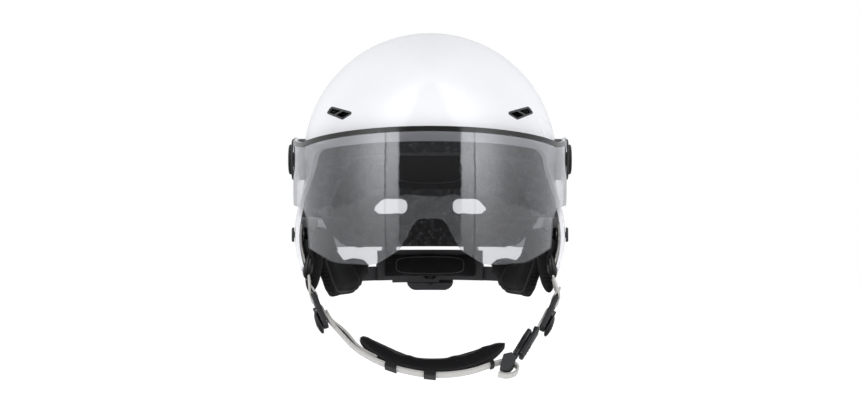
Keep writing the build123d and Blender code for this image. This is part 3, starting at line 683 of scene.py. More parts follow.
@dataclass
class Tube:
    """A round cord of piping along a path."""

    name: str
    path: Sequence[Vector]
    radius: float = 0.8
    sides: int = 8
    closed: bool = False

    def build(self) -> Piece:
        """Sweep a ring along the path.

        Returns:
            The closed cord.
        """
        path = list(self.path)
        count = len(path)
        shape = bmesh.new()
        heading = (path[1] - (path[-1] if self.closed else path[0])).normalized()
        turn = heading.to_track_quat("Z", "Y").to_matrix().to_4x4()
        ring = bmesh.ops.create_circle(shape, segments=self.sides, radius=self.radius * MM,
                                       matrix=Matrix.Translation(path[0]) @ turn)
        edges = first = list({edge for vert in ring["verts"] for edge in vert.link_edges})
        for station in range(1, count):
            ahead = path[(station + 1) % count] if self.closed or station + 1 < count else path[station]
            new_heading = (ahead - path[station - 1]).normalized()
            edges, verts = grow(shape, edges)
            bmesh.ops.translate(shape, verts=verts, vec=path[station] - path[station - 1])
            bmesh.ops.rotate(shape, verts=verts, cent=path[station],
                             matrix=heading.rotation_difference(new_heading).to_matrix())
            heading = new_heading
        if self.closed:
            bmesh.ops.bridge_loops(shape, edges=first + edges)
        else:
            bmesh.ops.holes_fill(shape, edges=first + edges, sides=self.sides)
        bmesh.ops.recalc_face_normals(shape, faces=shape.faces)
        return new_piece(self.name, shape)


@dataclass
class Block:
    """A moulded block with rounded edges."""

    place: Matrix
    size: tuple[float, float, float]
    radius: float = 1.0
    segments: int = 3

    def add_to(self, shape: Mesh) -> None:
        """Add the block to a mesh.

        Args:
            shape: the mesh it joins.
        """
        made = bmesh.ops.create_cube(shape, size=1.0)
        verts = made["verts"]
        bmesh.ops.scale(shape, vec=Vector(self.size) * MM, verts=verts)
        edges = list({edge for vert in verts for edge in vert.link_edges})
        rounded = bmesh.ops.bevel(
            shape, geom=edges, offset=self.radius * MM, offset_type="OFFSET", segments=self.segments,
            profile=0.5, affect="EDGES", clamp_overlap=True, material=-1)
        moved = {vert for face in rounded["faces"] for vert in face.verts} | {v for v in verts if v.is_valid}
        moved |= {vert for start in list(moved) for edge in start.link_edges for vert in edge.verts}
        bmesh.ops.transform(shape, matrix=self.place, verts=list(moved))


@dataclass
class Dome:
    """A pebble-shaped moulding: a flattened ball."""

    name: str
    place: Matrix
    radii: tuple[float, float, float]

    def build(self) -> Piece:
        """Make the pebble."""
        shape = bmesh.new()
        made = bmesh.ops.create_icosphere(shape, subdivisions=4, radius=1.0)
        for vert in made["verts"]:
            vert.co.z = math.copysign(abs(vert.co.z) ** 0.75, vert.co.z)
        bmesh.ops.scale(shape, vec=Vector(self.radii) * MM, verts=made["verts"])
        bmesh.ops.transform(shape, matrix=self.place, verts=made["verts"])
        bmesh.ops.recalc_face_normals(shape, faces=shape.faces)
        return new_piece(self.name, shape)


def smooth_by_angle(piece: Piece, degrees: float = 35.0) -> Piece:
    """Shade a moulding smoothly except across its sharp edges."""
    piece.data.shade_smooth()
    piece.data.set_sharp_from_angle(angle=math.radians(degrees))
    return piece


def moulding(name: str, blocks: Iterable[Block]) -> Piece:
    """One piece made of several blocks.

    Args:
        name: the piece's name.
        blocks: what it is made of.

    Returns:
        The piece, with crisp edges.
    """
    shape = bmesh.new()
    for block in blocks:
        block.add_to(shape)
    return smooth_by_angle(new_piece(name, shape))


def full_turn(count: int) -> list[float]:
    """Evenly spaced angles once round, in radians."""
    return [2 * math.pi * k / count for k in range(count)]


def surface_of(piece: Piece) -> BVHTree:
    """A piece's surface, for laying seams on it."""
    return BVHTree.FromObject(piece, bpy.context.evaluated_depsgraph_get())


def laid_on(surface: BVHTree, starts: Sequence[Vector], aims: Sequence[Vector]) -> list[Vector]:
    """Where rays first meet a surface.

    Args:
        surface: the piece's surface.
        starts: where each ray starts.
        aims: the point that each ray is aimed at.

    Returns:
        The hits, leaving out rays that miss.
    """
    hits = []
    for start, aim in zip(starts, aims):
        spot = surface.ray_cast(start, (aim - start).normalized())[0]
        if spot is not None:
            hits.append(spot)
    return hits


def ring_of(centre: Vector, half_u: Vector, half_v: Vector, count: int = 56) -> list[Vector]:
    """Points round a rounded rectangle.

    Args:
        centre: its middle.
        half_u: from the middle to one side.
        half_v: from the middle to the next side.
        count: how many points.

    Returns:
        The points in order.
    """
    points = []
    for turn in full_turn(count):
        u, v = (math.copysign(abs(way) ** 0.45, way) for way in (math.cos(turn), math.sin(turn)))
        points.append(centre + half_u * u + half_v * v)
    return points


@dataclass
class Stitching:
    """A row of short raised stitches along a path."""

    name: str
    path: Sequence[Vector]
    normal: Vector
    pitch: float = 2.4
    length: float = 1.7
    radius: float = 0.22

    def build(self) -> Piece:
        """Make the row as a piece of its own."""
        shape = bmesh.new()
        self.fill(shape, self.path)
        return new_piece(self.name, shape)

    def fill(self, shape: Mesh, path: Sequence[Vector]) -> None:
        """Add every stitch of a path, each a small grain.

        Args:
            shape: the mesh that they join.
            path: the row's points.
        """
        gone = 0.0
        for before, after in zip(path, path[1:]):
            run = after - before
            while gone < run.length:
                self._stitch(shape, before + run.normalized() * gone, run.normalized())
                gone += self.pitch * MM
            gone -= run.length

    def _stitch(self, shape: Mesh, centre: Vector, along: Vector) -> None:
        """Add one stitch."""
        side = self.normal.cross(along).normalized()
        up = along.cross(side).normalized()
        turn = Matrix((along, side, up)).transposed().to_4x4()
        made = bmesh.ops.create_icosphere(shape, subdivisions=1, radius=self.radius * MM)
        stretch = Matrix.Diagonal((self.length / (2 * self.radius), 1.0, 0.8, 1.0))
        bmesh.ops.transform(shape, matrix=Matrix.Translation(centre) @ turn @ stretch, verts=made["verts"])


@dataclass
class SoftForm:
    """A padded piece that swells from its CAD solid by cloth simulation."""

    node: str
    name: str
    voxel: float = 4.0
    shrink: float = 1.2
    cap: float = 4.0
    pressure: float = 4.0
    fill: float = 0.6
    frames: int = 16

    def build(self) -> Piece:
        """Copy, remesh, inflate and smooth the pad.

        Returns:
            The finished pad, at the origin.
        """
        source = bpy.data.objects[self.node]
        shape = bmesh.new()
        shape.from_mesh(source.data)
        bmesh.ops.remove_doubles(shape, verts=shape.verts, dist=1e-6)
        bmesh.ops.recalc_face_normals(shape, faces=shape.faces)
        piece = new_piece(self.name, shape)
        grid = piece.modifiers.new("grid", "REMESH")
        grid.mode = "VOXEL"
        grid.voxel_size = self.voxel * MM
        apply_modifiers(piece)
        start = self._shrunk(piece)
        self._inflate(piece, start)
        rounder = piece.modifiers.new("round", "CORRECTIVE_SMOOTH")
        rounder.iterations = 2
        rounder.use_only_smooth = True
        finer = piece.modifiers.new("finer", "SUBSURF")
        finer.levels = finer.render_levels = 1
        apply_modifiers(piece)
        piece.data.shade_smooth()
        return piece

    def _shrunk(self, piece: Piece) -> list[Vector]:
        """Move every wall in a little and round the corners, as a pad is before it's filled."""
        shape = bmesh.new()
        shape.from_mesh(piece.data)
        for _ in range(3):
            bmesh.ops.smooth_vert(shape, verts=shape.verts, factor=0.5, use_axis_x=True, use_axis_y=True,
                                  use_axis_z=True)
        shape.normal_update()
        for vert in shape.verts:
            vert.co -= vert.normal * self.shrink * MM
        shape.to_mesh(piece.data)
        shape.free()
        return [vert.co.copy() for vert in piece.data.vertices]

    def _inflate(self, piece: Piece, start: Sequence[Vector]) -> None:
        """Run the cloth, then keep every point within the cap of where it began."""
        scene = bpy.context.scene
        cloth = piece.modifiers.new("swell", "CLOTH")
        cloth.settings.use_pressure = True
        cloth.settings.uniform_pressure_force = self.pressure
        cloth.settings.effector_weights.gravity = 0.0
        cloth.settings.tension_stiffness = cloth.settings.compression_stiffness = 12.0
        cloth.settings.quality = 5
        cloth.point_cache.frame_start = 1
        cloth.point_cache.frame_end = self.frames
        for frame in range(1, self.frames + 1):
            scene.frame_set(frame)
        apply_modifiers(piece)
        scene.frame_set(1)
        for vert, home in zip(piece.data.vertices, start):
            move = vert.co - home
            if move.length > self.cap * MM:
                vert.co = home + move.normalized() * self.cap * MM


@dataclass
class Studio:
    """Camera, floor and lights."""

    camera_place: Vector = field(default_factory=lambda: Vector((0.0, -1.4, -0.0364)))
    lens_mm: float = 73.3
    around: tuple[Point, ...] = (
        (0.0, 0.12), (29.5, 0.12), (31.5, 2.4), (42.5, 2.6), (43.5, 0.5), (45.0, 2.8), (56.0, 2.4),
        (75.0, 1.25), (92.0, 0.85), (122.0, 1.0), (140.0, 1.2), (180.0, 0.7),
    )
    upright: tuple[Point, ...] = (
        (-90.0, 0.02), (-40.0, 0.05), (-18.0, 0.22), (-6.0, 0.55), (6.0, 0.95), (30.0, 1.0), (90.0, 0.8),
    )
    brightest: float = 3.0

    def build(self) -> None:
        """Set up the whole studio."""
        bpy.context.scene.view_settings.view_transform = "Standard"
        self._camera()
        self._floor()
        self._world()
        self._lights()

    def _camera(self) -> None:
        """A level camera in front of the helmet."""
        data = bpy.data.cameras.new("camera")
        data.lens = self.lens_mm
        data.sensor_width = 36.0
        data.clip_end = 50.0
        camera = bpy.data.objects.new("camera", data)
        camera.location = self.camera_place
        camera.rotation_euler = (math.pi / 2, 0.0, 0.0)
        bpy.context.scene.collection.objects.link(camera)
        bpy.context.scene.camera = camera

    def _floor(self) -> None:
        """A pale floor well under the helmet."""
        shape = bmesh.new()
        bmesh.ops.create_grid(shape, x_segments=4, y_segments=4, size=14.0)
        bmesh.ops.translate(shape, verts=shape.verts, vec=(0, 0, FLOOR_Z))
        floor = new_piece("floor", shape)
        material, _, shader = blank_material("pale_floor")
        set_inputs(shader, Base_Color=(0.85, 0.85, 0.85, 1.0), Roughness=0.9,
                   Emission_Color=(1.0, 1.0, 1.0, 1.0), Emission_Strength=FLOOR_GLOW)
        floor.data.materials.append(material)
        floor.visible_glossy = False

    def _profile(self, graph: Graph, value: Socket,
                 stops: Sequence[Point]) -> Socket:
        """A brightness that follows an angle through a few stops.

        Args:
            graph: the world's nodes.
            value: the angle in degrees.
            stops: pairs of angle and brightness.

        Returns:
            The brightness.
        """
        low, high, most = stops[0][0], stops[-1][0], self.brightest
        place = graph.math("DIVIDE", graph.math("SUBTRACT", value, low), high - low)
        ramp = graph.add("ShaderNodeValToRGB")
        points = ramp.color_ramp.elements
        while len(points) < len(stops):
            points.new(0.5)
        for point, (angle, level) in zip(points, stops):
            point.position = (angle - low) / (high - low)
            point.color = (level / most, level / most, level / most, 1.0)
        graph.link(place, ramp.inputs["Fac"])
        split = graph.add("ShaderNodeSeparateColor")
        graph.link(ramp.outputs["Color"], split.inputs[0])
        return graph.times(split.outputs[0], most)

    def _world(self) -> None:
        """White behind the helmet, and soft boxes round a dim room in its reflections."""
        world = bpy.data.worlds.new("studio")
        bpy.context.scene.world = world
        world.use_nodes = True
        graph = Graph(world.node_tree)
        world.node_tree.nodes.clear()
        place = graph.add("ShaderNodeTexCoord")
        x, y, z = graph.split(place.outputs["Generated"])
        degrees = 180.0 / math.pi
        azimuth = graph.times(graph.math("ARCTAN2", graph.math("ABSOLUTE", x), graph.times(
            y, -1.0)), degrees)
        rise = graph.times(graph.math("ARCSINE", z), degrees)
        boxes = self._profile(graph, azimuth, self.around)
        fade = self._profile(graph, rise, self.upright)
        path = graph.add("ShaderNodeLightPath")
        seen = graph.add("ShaderNodeBackground")
        set_inputs(seen, Color=(1.0, 1.0, 1.0, 1.0), Strength=1.0)
        room = graph.add("ShaderNodeBackground")
        set_inputs(room, Color=(0.96, 0.97, 1.0, 1.0))
        dimmed = graph.times(path.outputs["Is Diffuse Ray"], DIFFUSE_DIMMING)
        softer = graph.math("SUBTRACT", 1.0, dimmed)
        glow = graph.times(graph.times(boxes, fade), softer)
        graph.link(glow, room.inputs["Strength"])
        mix = graph.add("ShaderNodeMixShader")
        out = graph.add("ShaderNodeOutputWorld")
        no_gloss = graph.math("LESS_THAN", path.outputs["Glossy Depth"], 0.5)
        no_bounce = graph.math("LESS_THAN", path.outputs["Diffuse Depth"], 0.5)
        unturned = graph.times(no_gloss, no_bounce)
        through = graph.times(path.outputs["Is Transmission Ray"], unturned)
        direct = graph.math("MAXIMUM", path.outputs["Is Camera Ray"], through)
        graph.link(direct, mix.inputs["Fac"])
        graph.link(room.outputs[0], mix.inputs[1])
        graph.link(seen.outputs[0], mix.inputs[2])
        graph.link(mix.outputs[0], out.inputs["Surface"])

    def _lights(self) -> None:
        """Broad fills that even out the shell without showing in its gloss."""
        self._panel("front_fill", 0.0, 18.0, 1.8, 1.6, 14.5)
        self._panel("top_fill", 0.0, 75.0, 2.0, 2.0, 9.0)
        for side in Side:
            self._panel(f"side_fill_{side.word}", side.value * 62.0, 10.0, 1.4, 1.6, 3.0)
            self._panel(f"back_fill_{side.word}", side.value * 140.0, 15.0, 1.6, 1.6, 6.0)

    @staticmethod
    def _panel(name: str, azimuth: float, elevation: float, width: float, height: float,
               watts: float) -> None:
        """One rectangular soft box that faces the helmet and doesn't show in gloss.

        Args:
            name: the light's name.
            azimuth: degrees from straight ahead of the face, towards the wearer's left.
            elevation: degrees above level.
            width: its width in metres.
            height: its height in metres.
            watts: its power.
        """
        data = bpy.data.lights.new(name, "AREA")
        data.shape = "RECTANGLE"
        data.size = width
        data.size_y = height
        data.energy = watts
        light = bpy.data.objects.new(name, data)
        light.visible_glossy = False
        light.visible_transmission = False
        turn, rise = math.radians(azimuth), math.radians(elevation)
        aim = Vector((math.sin(turn) * math.cos(rise), -math.cos(turn) * math.cos(rise), math.sin(rise)))
        light.location = aim * FILL_DISTANCE
        light.rotation_euler = (-aim).to_track_quat("-Z", "Y").to_euler()
        bpy.context.scene.collection.objects.link(light)


@dataclass
class Cabinet:
    """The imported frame, with short ways to its nodes."""

    frame: dict

    def node(self, name: str) -> Piece:
        """One CAD node's object."""
        return self.frame["nodes"][name]

    def paint(self, finish: Finish, *names: str) -> None:
        """Give CAD nodes a finish."""
        for name in names:
            PAINT.dress(self.node(name), finish)


class Shell:
    """The outer skin, the foam liner and the vents."""

    def build(self, cabinet: Cabinet) -> None:
        """Dress the shell's CAD nodes and hang a net in each front vent."""
        cabinet.paint(SHELL, "outer_shell")
        cabinet.paint(FOAM, "foam_liner")
        for side in Side:
            cabinet.paint(MOULDED, f"front_vent_{side.word}")
            self._net(side)

    def _net(self, side: Side) -> None:
        """A coarse net behind a front vent's louvre."""
        low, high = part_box(f"front_vent_{side.word}")
        middle = (low + high) / 2
        wires = []
        for k in range(-3, 4):
            run = k * 2.3 * MM
            spot = Vector((middle.x + side.value * run, middle.y + 2.0 * MM, middle.z + 0.38 * run))
            for lean in (-38, 52):
                turn = Matrix.Rotation(math.radians(lean * side.value), 4, "Y")
                wires.append(Block(Matrix.Translation(spot) @ turn, (0.5, 0.5, 4.2), 0.12, 1))
        finish_piece(moulding(f"vent_net_{side.word}", wires), "root", MOULDED)


@dataclass
class Visor:
    """The lift-up lens, its trim and its pivots."""

    knob_face: float = 112.6
    knob_radius: float = 11.6
    cover_face: float = 110.0
    cover_radius: float = 16.5

    def build(self, cabinet: Cabinet) -> None:
        """Dress the visor's CAD nodes; add ribs round each knob, and ticks that turn with the visor."""
        cabinet.node("visor_lens").data.materials.clear()
        cabinet.node("visor_lens").data.materials.append(PAINT.lens())
        cabinet.paint(RUBBER, "visor_top_trim")
        for side in Side:
            word = side.word
            cabinet.paint(MOULDED, f"pivot_cover_{word}", f"pivot_mount_{word}", f"pivot_nut_{word}")
            cabinet.paint(SATIN, f"pivot_knob_{word}")
            cabinet.paint(RUBBER, f"pivot_washer_{word}")
            ribs = self._spokes(f"knob_ribs_{word}", side, KNOB_RIBS, self.knob_face - 1.3,
                                self.knob_radius - 0.05, (1.9, 0.9, 0.7))
            finish_piece(ribs, f"knob_{word}", SATIN)
            ticks = self._spokes(f"cover_ticks_{word}", side, COVER_TICKS, self.cover_face,
                                 self.cover_radius - 2.6, (0.5, 0.45, 1.8))
            finish_piece(ticks, "visor", MOULDED)

    @staticmethod
    def _spokes(name: str, side: Side, count: int, x: float, radius: float, size: tuple) -> Piece:
        """Small bars set round the pivot axis.

        Args:
            name: the piece's name.
            side: which pivot.
            count: how many bars a full turn holds.
            x: their distance from the middle of the helmet.
            radius: their distance from the axis.
            size: each bar's size along the axis, round it and out from it.

        Returns:
            One piece that holds every bar.
        """
        reach = Matrix.Translation((side.value * x * MM, 0, radius * MM))
        return moulding(name, (
            Block(Matrix.Rotation(turn, 4, "X") @ reach, size, 0.25, 2) for turn in full_turn(count)))


@dataclass
class Padding:
    """Comfort pads, ear pads, the nape pad and the chin pad."""

    head: Vector = field(default_factory=lambda: Vector((0, 0.008, 0)))

    def build(self, cabinet: Cabinet) -> None:
        """Swell and dress every pad."""
        seams = {
            "brow_pad": ((0, -0.12, 0.011), (0.062, 0, 0), (0, 0, 0.011)),
            "crown_pad": ((0, 0.004, 0.1), (0.019, 0, 0), (0, 0.046, 0)),
            "rear_pad": ((0, 0.14, 0.0), (0.046, 0, 0), (0, 0, 0.022)),
            "side_pad_left": ((0.1, 0.014, 0.030), (0, 0.034, 0), (0, 0, 0.013)),
            "side_pad_right": ((-0.1, 0.014, 0.030), (0, 0.034, 0), (0, 0, 0.013)),
        }
        for node, seam in seams.items():
            pad = SoftForm(node, f"{node}_cloth", voxel=4.0, shrink=1.0, cap=2.0, fill=0.5).build()
            finish_piece(pad, "root", LINING, node)
            aims = ring_of(*map(Vector, seam))
            self._piping(f"{node}_seam", pad, [self.head] * len(aims), aims, 0.55)
        for side in Side:
            self._ear_cushion(side)
            cabinet.paint(MOULDED, f"ear_pad_stud_{side.word}")
        pad = SoftForm("nape_pad", "nape_cushion", voxel=3.0, shrink=0.8, cap=1.6, fill=0.5).build()
        finish_piece(pad, "root", LINING, "nape_pad")
        aims = ring_of(Vector((0, 0.11, -0.088)), Vector((0.034, 0, 0)), Vector((0, 0, 0.0075)))
        self._piping("nape_seam", pad, [Vector((0, 0.04, -0.088))] * len(aims), aims, 0.5)
        self._chin_cushion()

    @staticmethod
    def _piping(name: str, pad: Piece, starts: Sequence[Vector], aims: Sequence[Vector],
                radius: float) -> None:
        """Lay a closed sewn cord on a pad of the helmet's own body.

        Args:
            name: the cord's name.
            pad: the pad it lies on.
            starts: where each ray starts.
            aims: where each ray is aimed.
            radius: the cord's radius.
        """
        hits = laid_on(surface_of(pad), starts, aims)
        if len(hits) < FEWEST_HITS:
            LOG.info("piping %s has no room", name)
            return
        finish_piece(Tube(name, hits, radius, closed=True).build(), "root", DARK_THREAD)

    def _ear_cushion(self, side: Side) -> None:
        """A full ear cushion with piping sewn round its inner face."""
        s = side.value
        node = f"ear_pad_{side.word}"
        form = SoftForm(node, f"ear_cushion_{side.word}", voxel=3.4, shrink=1.4, pressure=6.0, fill=0.7)
        pad = finish_piece(form.build(), "root", SPACER, node)
        aims = ring_of(Vector((s * 0.12, 0.034, -0.090)), Vector((0, 0.022, 0)), Vector((0, 0, 0.017)))
        starts = [Vector((0, aim.y, aim.z)) for aim in aims]
        self._piping(f"ear_piping_{side.word}", pad, starts, aims, 0.8)

    def _chin_cushion(self) -> None:
        """The chin pad, with a bound edge each side and a row of stitches inside it."""
        pad = SoftForm("chin_pad", "chin_cushion", voxel=2.4, shrink=0.9, cap=2.2, fill=0.7).build()
        finish_piece(pad, "chin_set", LINING, "chin_pad")
        surface = surface_of(pad)
        span = [-55 + k * 113 / 60 for k in range(61)]

        def row(out: float) -> list[Vector]:
            """A line along the pad's upper face, out millimetres from its middle."""
            return laid_on(surface, [HANG.at(u, 10, out) for u in span], [HANG.at(u, -60, out) for u in span])

        for word, out in (("front", 11.6), ("rear", -11.6)):
            binding, seam = row(out), row(out * 0.8)
            if len(binding) > FEWEST_HITS:
                finish_piece(Tube(f"chin_binding_{word}", binding, 0.7).build(), "chin_set", DARK_THREAD)
            if len(seam) > FEWEST_HITS:
                stitches = Stitching(f"chin_stitches_{word}", seam, HANG.up).build()
                finish_piece(stitches, "chin_set", DARK_THREAD)


@dataclass
class Divider:
    """Where a moulding sits in the harness's plane, and how it leans there."""

    u: float
    v: float
    lean: float

    def at(self, x: float, y: float, out: float = 0.0) -> Vector:
        """A point from the divider's own directions, in millimetres."""
        turn = math.radians(self.lean)
        return HANG.at(self.u + x * math.cos(turn) - y * math.sin(turn),
                       self.v + x * math.sin(turn) + y * math.cos(turn), out)

    def place(self, x: float, y: float, out: float = 0.0) -> Matrix:
        """A matrix that sets a moulding's length along the divider and its height out of the face."""
        turn = math.radians(self.lean)
        along = (Vector((1, 0, 0)) * math.cos(turn) + HANG.up * math.sin(turn)).normalized()
        face = (Vector((-1, 0, 0)) * math.sin(turn) + HANG.up * math.cos(turn)).normalized()
        axes = Matrix((along, face, HANG.normal)).transposed().to_4x4()
        return Matrix.Translation(self.at(x, y, out)) @ axes


DIVIDERS = {
    Side.LEFT: Divider(94.5, -11.5, -115.0),
    Side.RIGHT: Divider(-87.5, -9.0, -67.0),
}
BUCKLE = Divider(75.2, -36.0, 58.5)


@dataclass
class Harness:
    """Webbing, dividers, buckle and everything on the chin strap."""

    inner_face: float = 2.7
    bend: tuple[float, float] = (96.4, -90.0)
    rear_start: tuple[float, float, float] = (94.8, 46.0, -60.0)
    rear_finish: dict[Side, tuple[float, float, float]] = field(default_factory=lambda: {
        Side.LEFT: (95.3, 1.0, -97.0), Side.RIGHT: (97.6, 1.0, -97.0),
    })
    chin_points: tuple[Point, ...] = (
        (-71, -27), (-60.5, -39), (-43, -49.8), (-18, -58.8), (8, -61.6), (32, -58.6), (50, -52),
        (61.5, -49.0),
    )
    fold_points: tuple[Point, ...] = (
        (-69.5, -24.2), (-63.5, -30.2), (-58.0, -37.6), (-50.5, -43.2), (-41.5, -47.6),
    )
    tail_points: tuple[Point, ...] = (
        (60.5, -51.6), (66.2, -51.8), (69.8, -55.4), (67.0, -60.2), (60, -61.8), (53.5, -60.2),
    )
    keeper_points: tuple[Point, ...] = (
        (1.75, 0), (1.75, 8.2), (0.9, 9.3), (-0.9, 9.3), (-1.75, 8.2), (-1.75, -8.2), (-0.9, -9.3),
        (0.9, -9.3), (1.75, -8.2), (1.75, 0.1),
    )
    loops: dict[str, tuple[float, float, float]] = field(default_factory=lambda: {
        "pad_loop_right": (-30.5, -54.35, -19.8), "pad_loop_middle": (0.0, -60.75, -6.1),
    })

    def build(self, cabinet: Cabinet) -> None:
        """Make the whole harness."""
        for side in Side:
            self._front_strap(side)
            self._rear_strap(side)
            self._sleeve(side)
            self._divider(side)
            word = side.word
            cabinet.paint(MOULDED, f"strap_divider_{word}", f"rivets_{word}")
            cabinet.paint(STEEL, f"divider_pin_{word}", f"rivet_washers_{word}")
        self._chin_strap()
        self._lower_strap()
        self._buckle(cabinet)
        self._loops_and_keeper()

    @staticmethod
    def _strip(ribbon: Ribbon, body: str, *nodes: str) -> Piece:
        """Make one webbing strip in its CAD straps' place."""
        return finish_piece(ribbon.build(), body, WEBBING, *nodes)

    @staticmethod
    def _bar_tacks(name: str, middle: Vector, along: Vector, across: Vector) -> None:
        """A box of stitches with a cross in it, on both faces of a strap.

        Args:
            name: the piece's name.
            middle: the box's middle.
            along: the strap's direction there.
            across: the strap's width direction.
        """
        run, wide = along.normalized() * 4.5 * MM, across.normalized() * 5.5 * MM
        normal = run.cross(wide).normalized()
        corners = [middle + run + wide, middle - run + wide, middle - run - wide, middle + run - wide]
        lines = list(zip(corners, corners[1:] + corners[:1])) + list(zip(corners, corners[2:]))
        for k, lift in enumerate((TACK_LIFT * MM, -TACK_LIFT * MM)):
            shape = bmesh.new()
            row = Stitching(name, [], normal, pitch=1.9, length=1.4, radius=0.25)
            for start, stop in lines:
                row.fill(shape, [start + normal * lift, stop + normal * lift])
            finish_piece(new_piece(f"{name}_{k}", shape), "root", THREAD)

    def _front_strap(self, side: Side) -> None:
        """The front strap, wrapped round its divider's top bar."""
        s = side.value
        divider = DIVIDERS[side]
        low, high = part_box(f"front_strap_{side.word}")
        wall_x = (high.x if s > 0 else low.x) - s * 0.8 * MM
        y = (low.y + high.y) / 2
        join = divider.at(-15.5, s * 1.9)
        bend = Vector((s * self.bend[0] * MM, y, self.bend[1] * MM))
        path = [
            Vector((wall_x, y, -0.0515)), Vector((wall_x, y, -0.060)), Vector((wall_x, y, -0.070)), bend,
            bend.lerp(join, 0.5), join, divider.at(-12.5, s * 2.4), divider.at(-9.6, s * 2.2),
            divider.at(-9.2, 0), divider.at(-9.6, -s * 2.2), divider.at(-12.5, -s * 2.4),
            divider.at(-16.5, -s * 1.6), divider.at(-22, -s * 0.4),
        ]
        ribbon = Ribbon(f"front_webbing_{side.word}", path, Vector((0, 1, 0)), -HANG.normal, 0.45, 0.62)
        self._strip(ribbon, "root", f"front_strap_{side.word}")
        tack = bend.lerp(join, 0.62)
        self._bar_tacks(f"front_tacks_{side.word}", tack, join - bend, Vector((0, 1, 0)))

    def _rear_strap(self, side: Side) -> None:
        """The rear strap, from its rivet to where it's sewn to the front one."""
        s = side.value
        x, y, z = self.rear_start
        start = Vector((s * x, y, z)) * MM
        x, y, z = self.rear_finish[side]
        finish = Vector((s * x, y, z)) * MM
        run = (finish - start).normalized()
        outward = Vector((s, 0.22, 0))
        normal = (outward - run * run.dot(outward)).normalized()
        across = normal.cross(run)
        sag = normal * -0.6 * MM
        path = [start - run * 7.6 * MM, start, start.lerp(finish, 0.35) + sag, start.lerp(finish, 0.7) + sag,
                finish]
        self._strip(Ribbon(f"rear_webbing_{side.word}", path, across), "root", f"rear_strap_{side.word}")
        tack = finish - run * 6.0 * MM
        self._bar_tacks(f"rear_tacks_{side.word}", tack, run, across)

    def _sleeve(self, side: Side) -> None:
        """The ear cushion's black wing and the rubber tab that holds the front strap."""
        s = side.value
        lean = Matrix.Rotation(math.radians(-7.0 * s), 4, "Y")
        wing = Dome(f"ear_wing_{side.word}", Matrix.Translation(Vector((s * 92.6, 5.5, -81.0)) * MM) @ lean,
                    (6.6, 8.2, 26.0)).build()
        finish_piece(wing, "root", SPACER)
        tab = Dome(f"strap_tab_{side.word}", Matrix.Translation(Vector((s * 96.6, -6.4, -84.0)) * MM) @ lean,
                   (4.6, 9.6, 11.5)).build()
        finish_piece(tab, "root", RUBBER)
        path = [Vector((s * x, -5, z)) * MM for x, z in ((98.6, -64), (98.2, -70), (97.0, -77), (96.4, -84))]
        band = Ribbon(f"strap_band_{side.word}", path, Vector((0.35 * s, 1, 0)), width=18.6, thick=3.0)
        finish_piece(band.build(), "root", ELASTIC)

    def _divider(self, side: Side) -> None:
        """The divider's pebble-shaped lever with finger ribs."""
        s = side.value
        divider = DIVIDERS[side]
        lever = Dome(f"lever_shell_{side.word}", divider.place(9.0, s * 4.3), (8.8, 2.5, 8.4)).build()
        finish_piece(lever, f"lever_{side.word}", SATIN, f"divider_lever_{side.word}")
        ribs = []
        for k in range(4):
            place = divider.place(9.6 + 1.7 * k, s * (6.55 - 0.16 * k * k))
            ribs.append(Block(place, (0.8, 0.7, 9.5 - 1.4 * k), 0.3, 2))
        finish_piece(moulding(f"lever_ribs_{side.word}", ribs), f"lever_{side.word}", MOULDED)
        rails = [Block(divider.place(-1.0, 0, out), (25.0, 4.4, 2.2), 0.9, 3) for out in (-9.4, 9.4)]
        rails += [Block(divider.place(x, 0), (2.4, 4.2, 15.0), 0.9, 3) for x in (-12.9, 12.6)]
        finish_piece(moulding(f"divider_rails_{side.word}", rails), "root", MOULDED)

    def _chin_strap(self) -> None:
        """The strap under the chin, its second layer and its turned-back end."""
        divider = DIVIDERS[Side.RIGHT]
        inner = self.inner_face
        path = [divider.at(-3.2, -2.2), divider.at(-3.2, 0.6), divider.at(-1, inner), divider.at(7, inner)]
        path += [HANG.at(u, v) for u, v in self.chin_points]
        strap = self._strip(Ribbon("chin_webbing", path, HANG.normal), "", "chin_strap")
        stay, go = divider.at(10, inner), HANG.at(-60.5, -39)
        tuple(stay)
        tuple(go)
        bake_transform(strap)
        fold = [divider.at(3, inner + 1.9), divider.at(12, inner + 2.6)]
        fold += [HANG.at(u, v) for u, v in self.fold_points]
        second = self._strip(Ribbon("chin_webbing_fold", fold, HANG.normal, width=SECOND_LAYER_WIDTH), "")
        tuple(stay)
        tuple(go)
        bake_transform(second)
        tail = [HANG.at(u, v) for u, v in self.tail_points]
        self._strip(Ribbon("chin_webbing_tail", tail, HANG.normal, width=SECOND_LAYER_WIDTH), "chin_set")

    def _lower_strap(self) -> None:
        """The short strap between the left divider and the buckle."""
        divider = DIVIDERS[Side.LEFT]
        path = [divider.at(-3.2, 2.0), divider.at(-3.2, -0.6), divider.at(-1, -self.inner_face),
                divider.at(5, -self.inner_face), BUCKLE.at(19, -1.8), BUCKLE.at(14.5, -2.2)]
        self._strip(Ribbon("lower_webbing_left", path, HANG.normal), "root", "lower_strap_left")

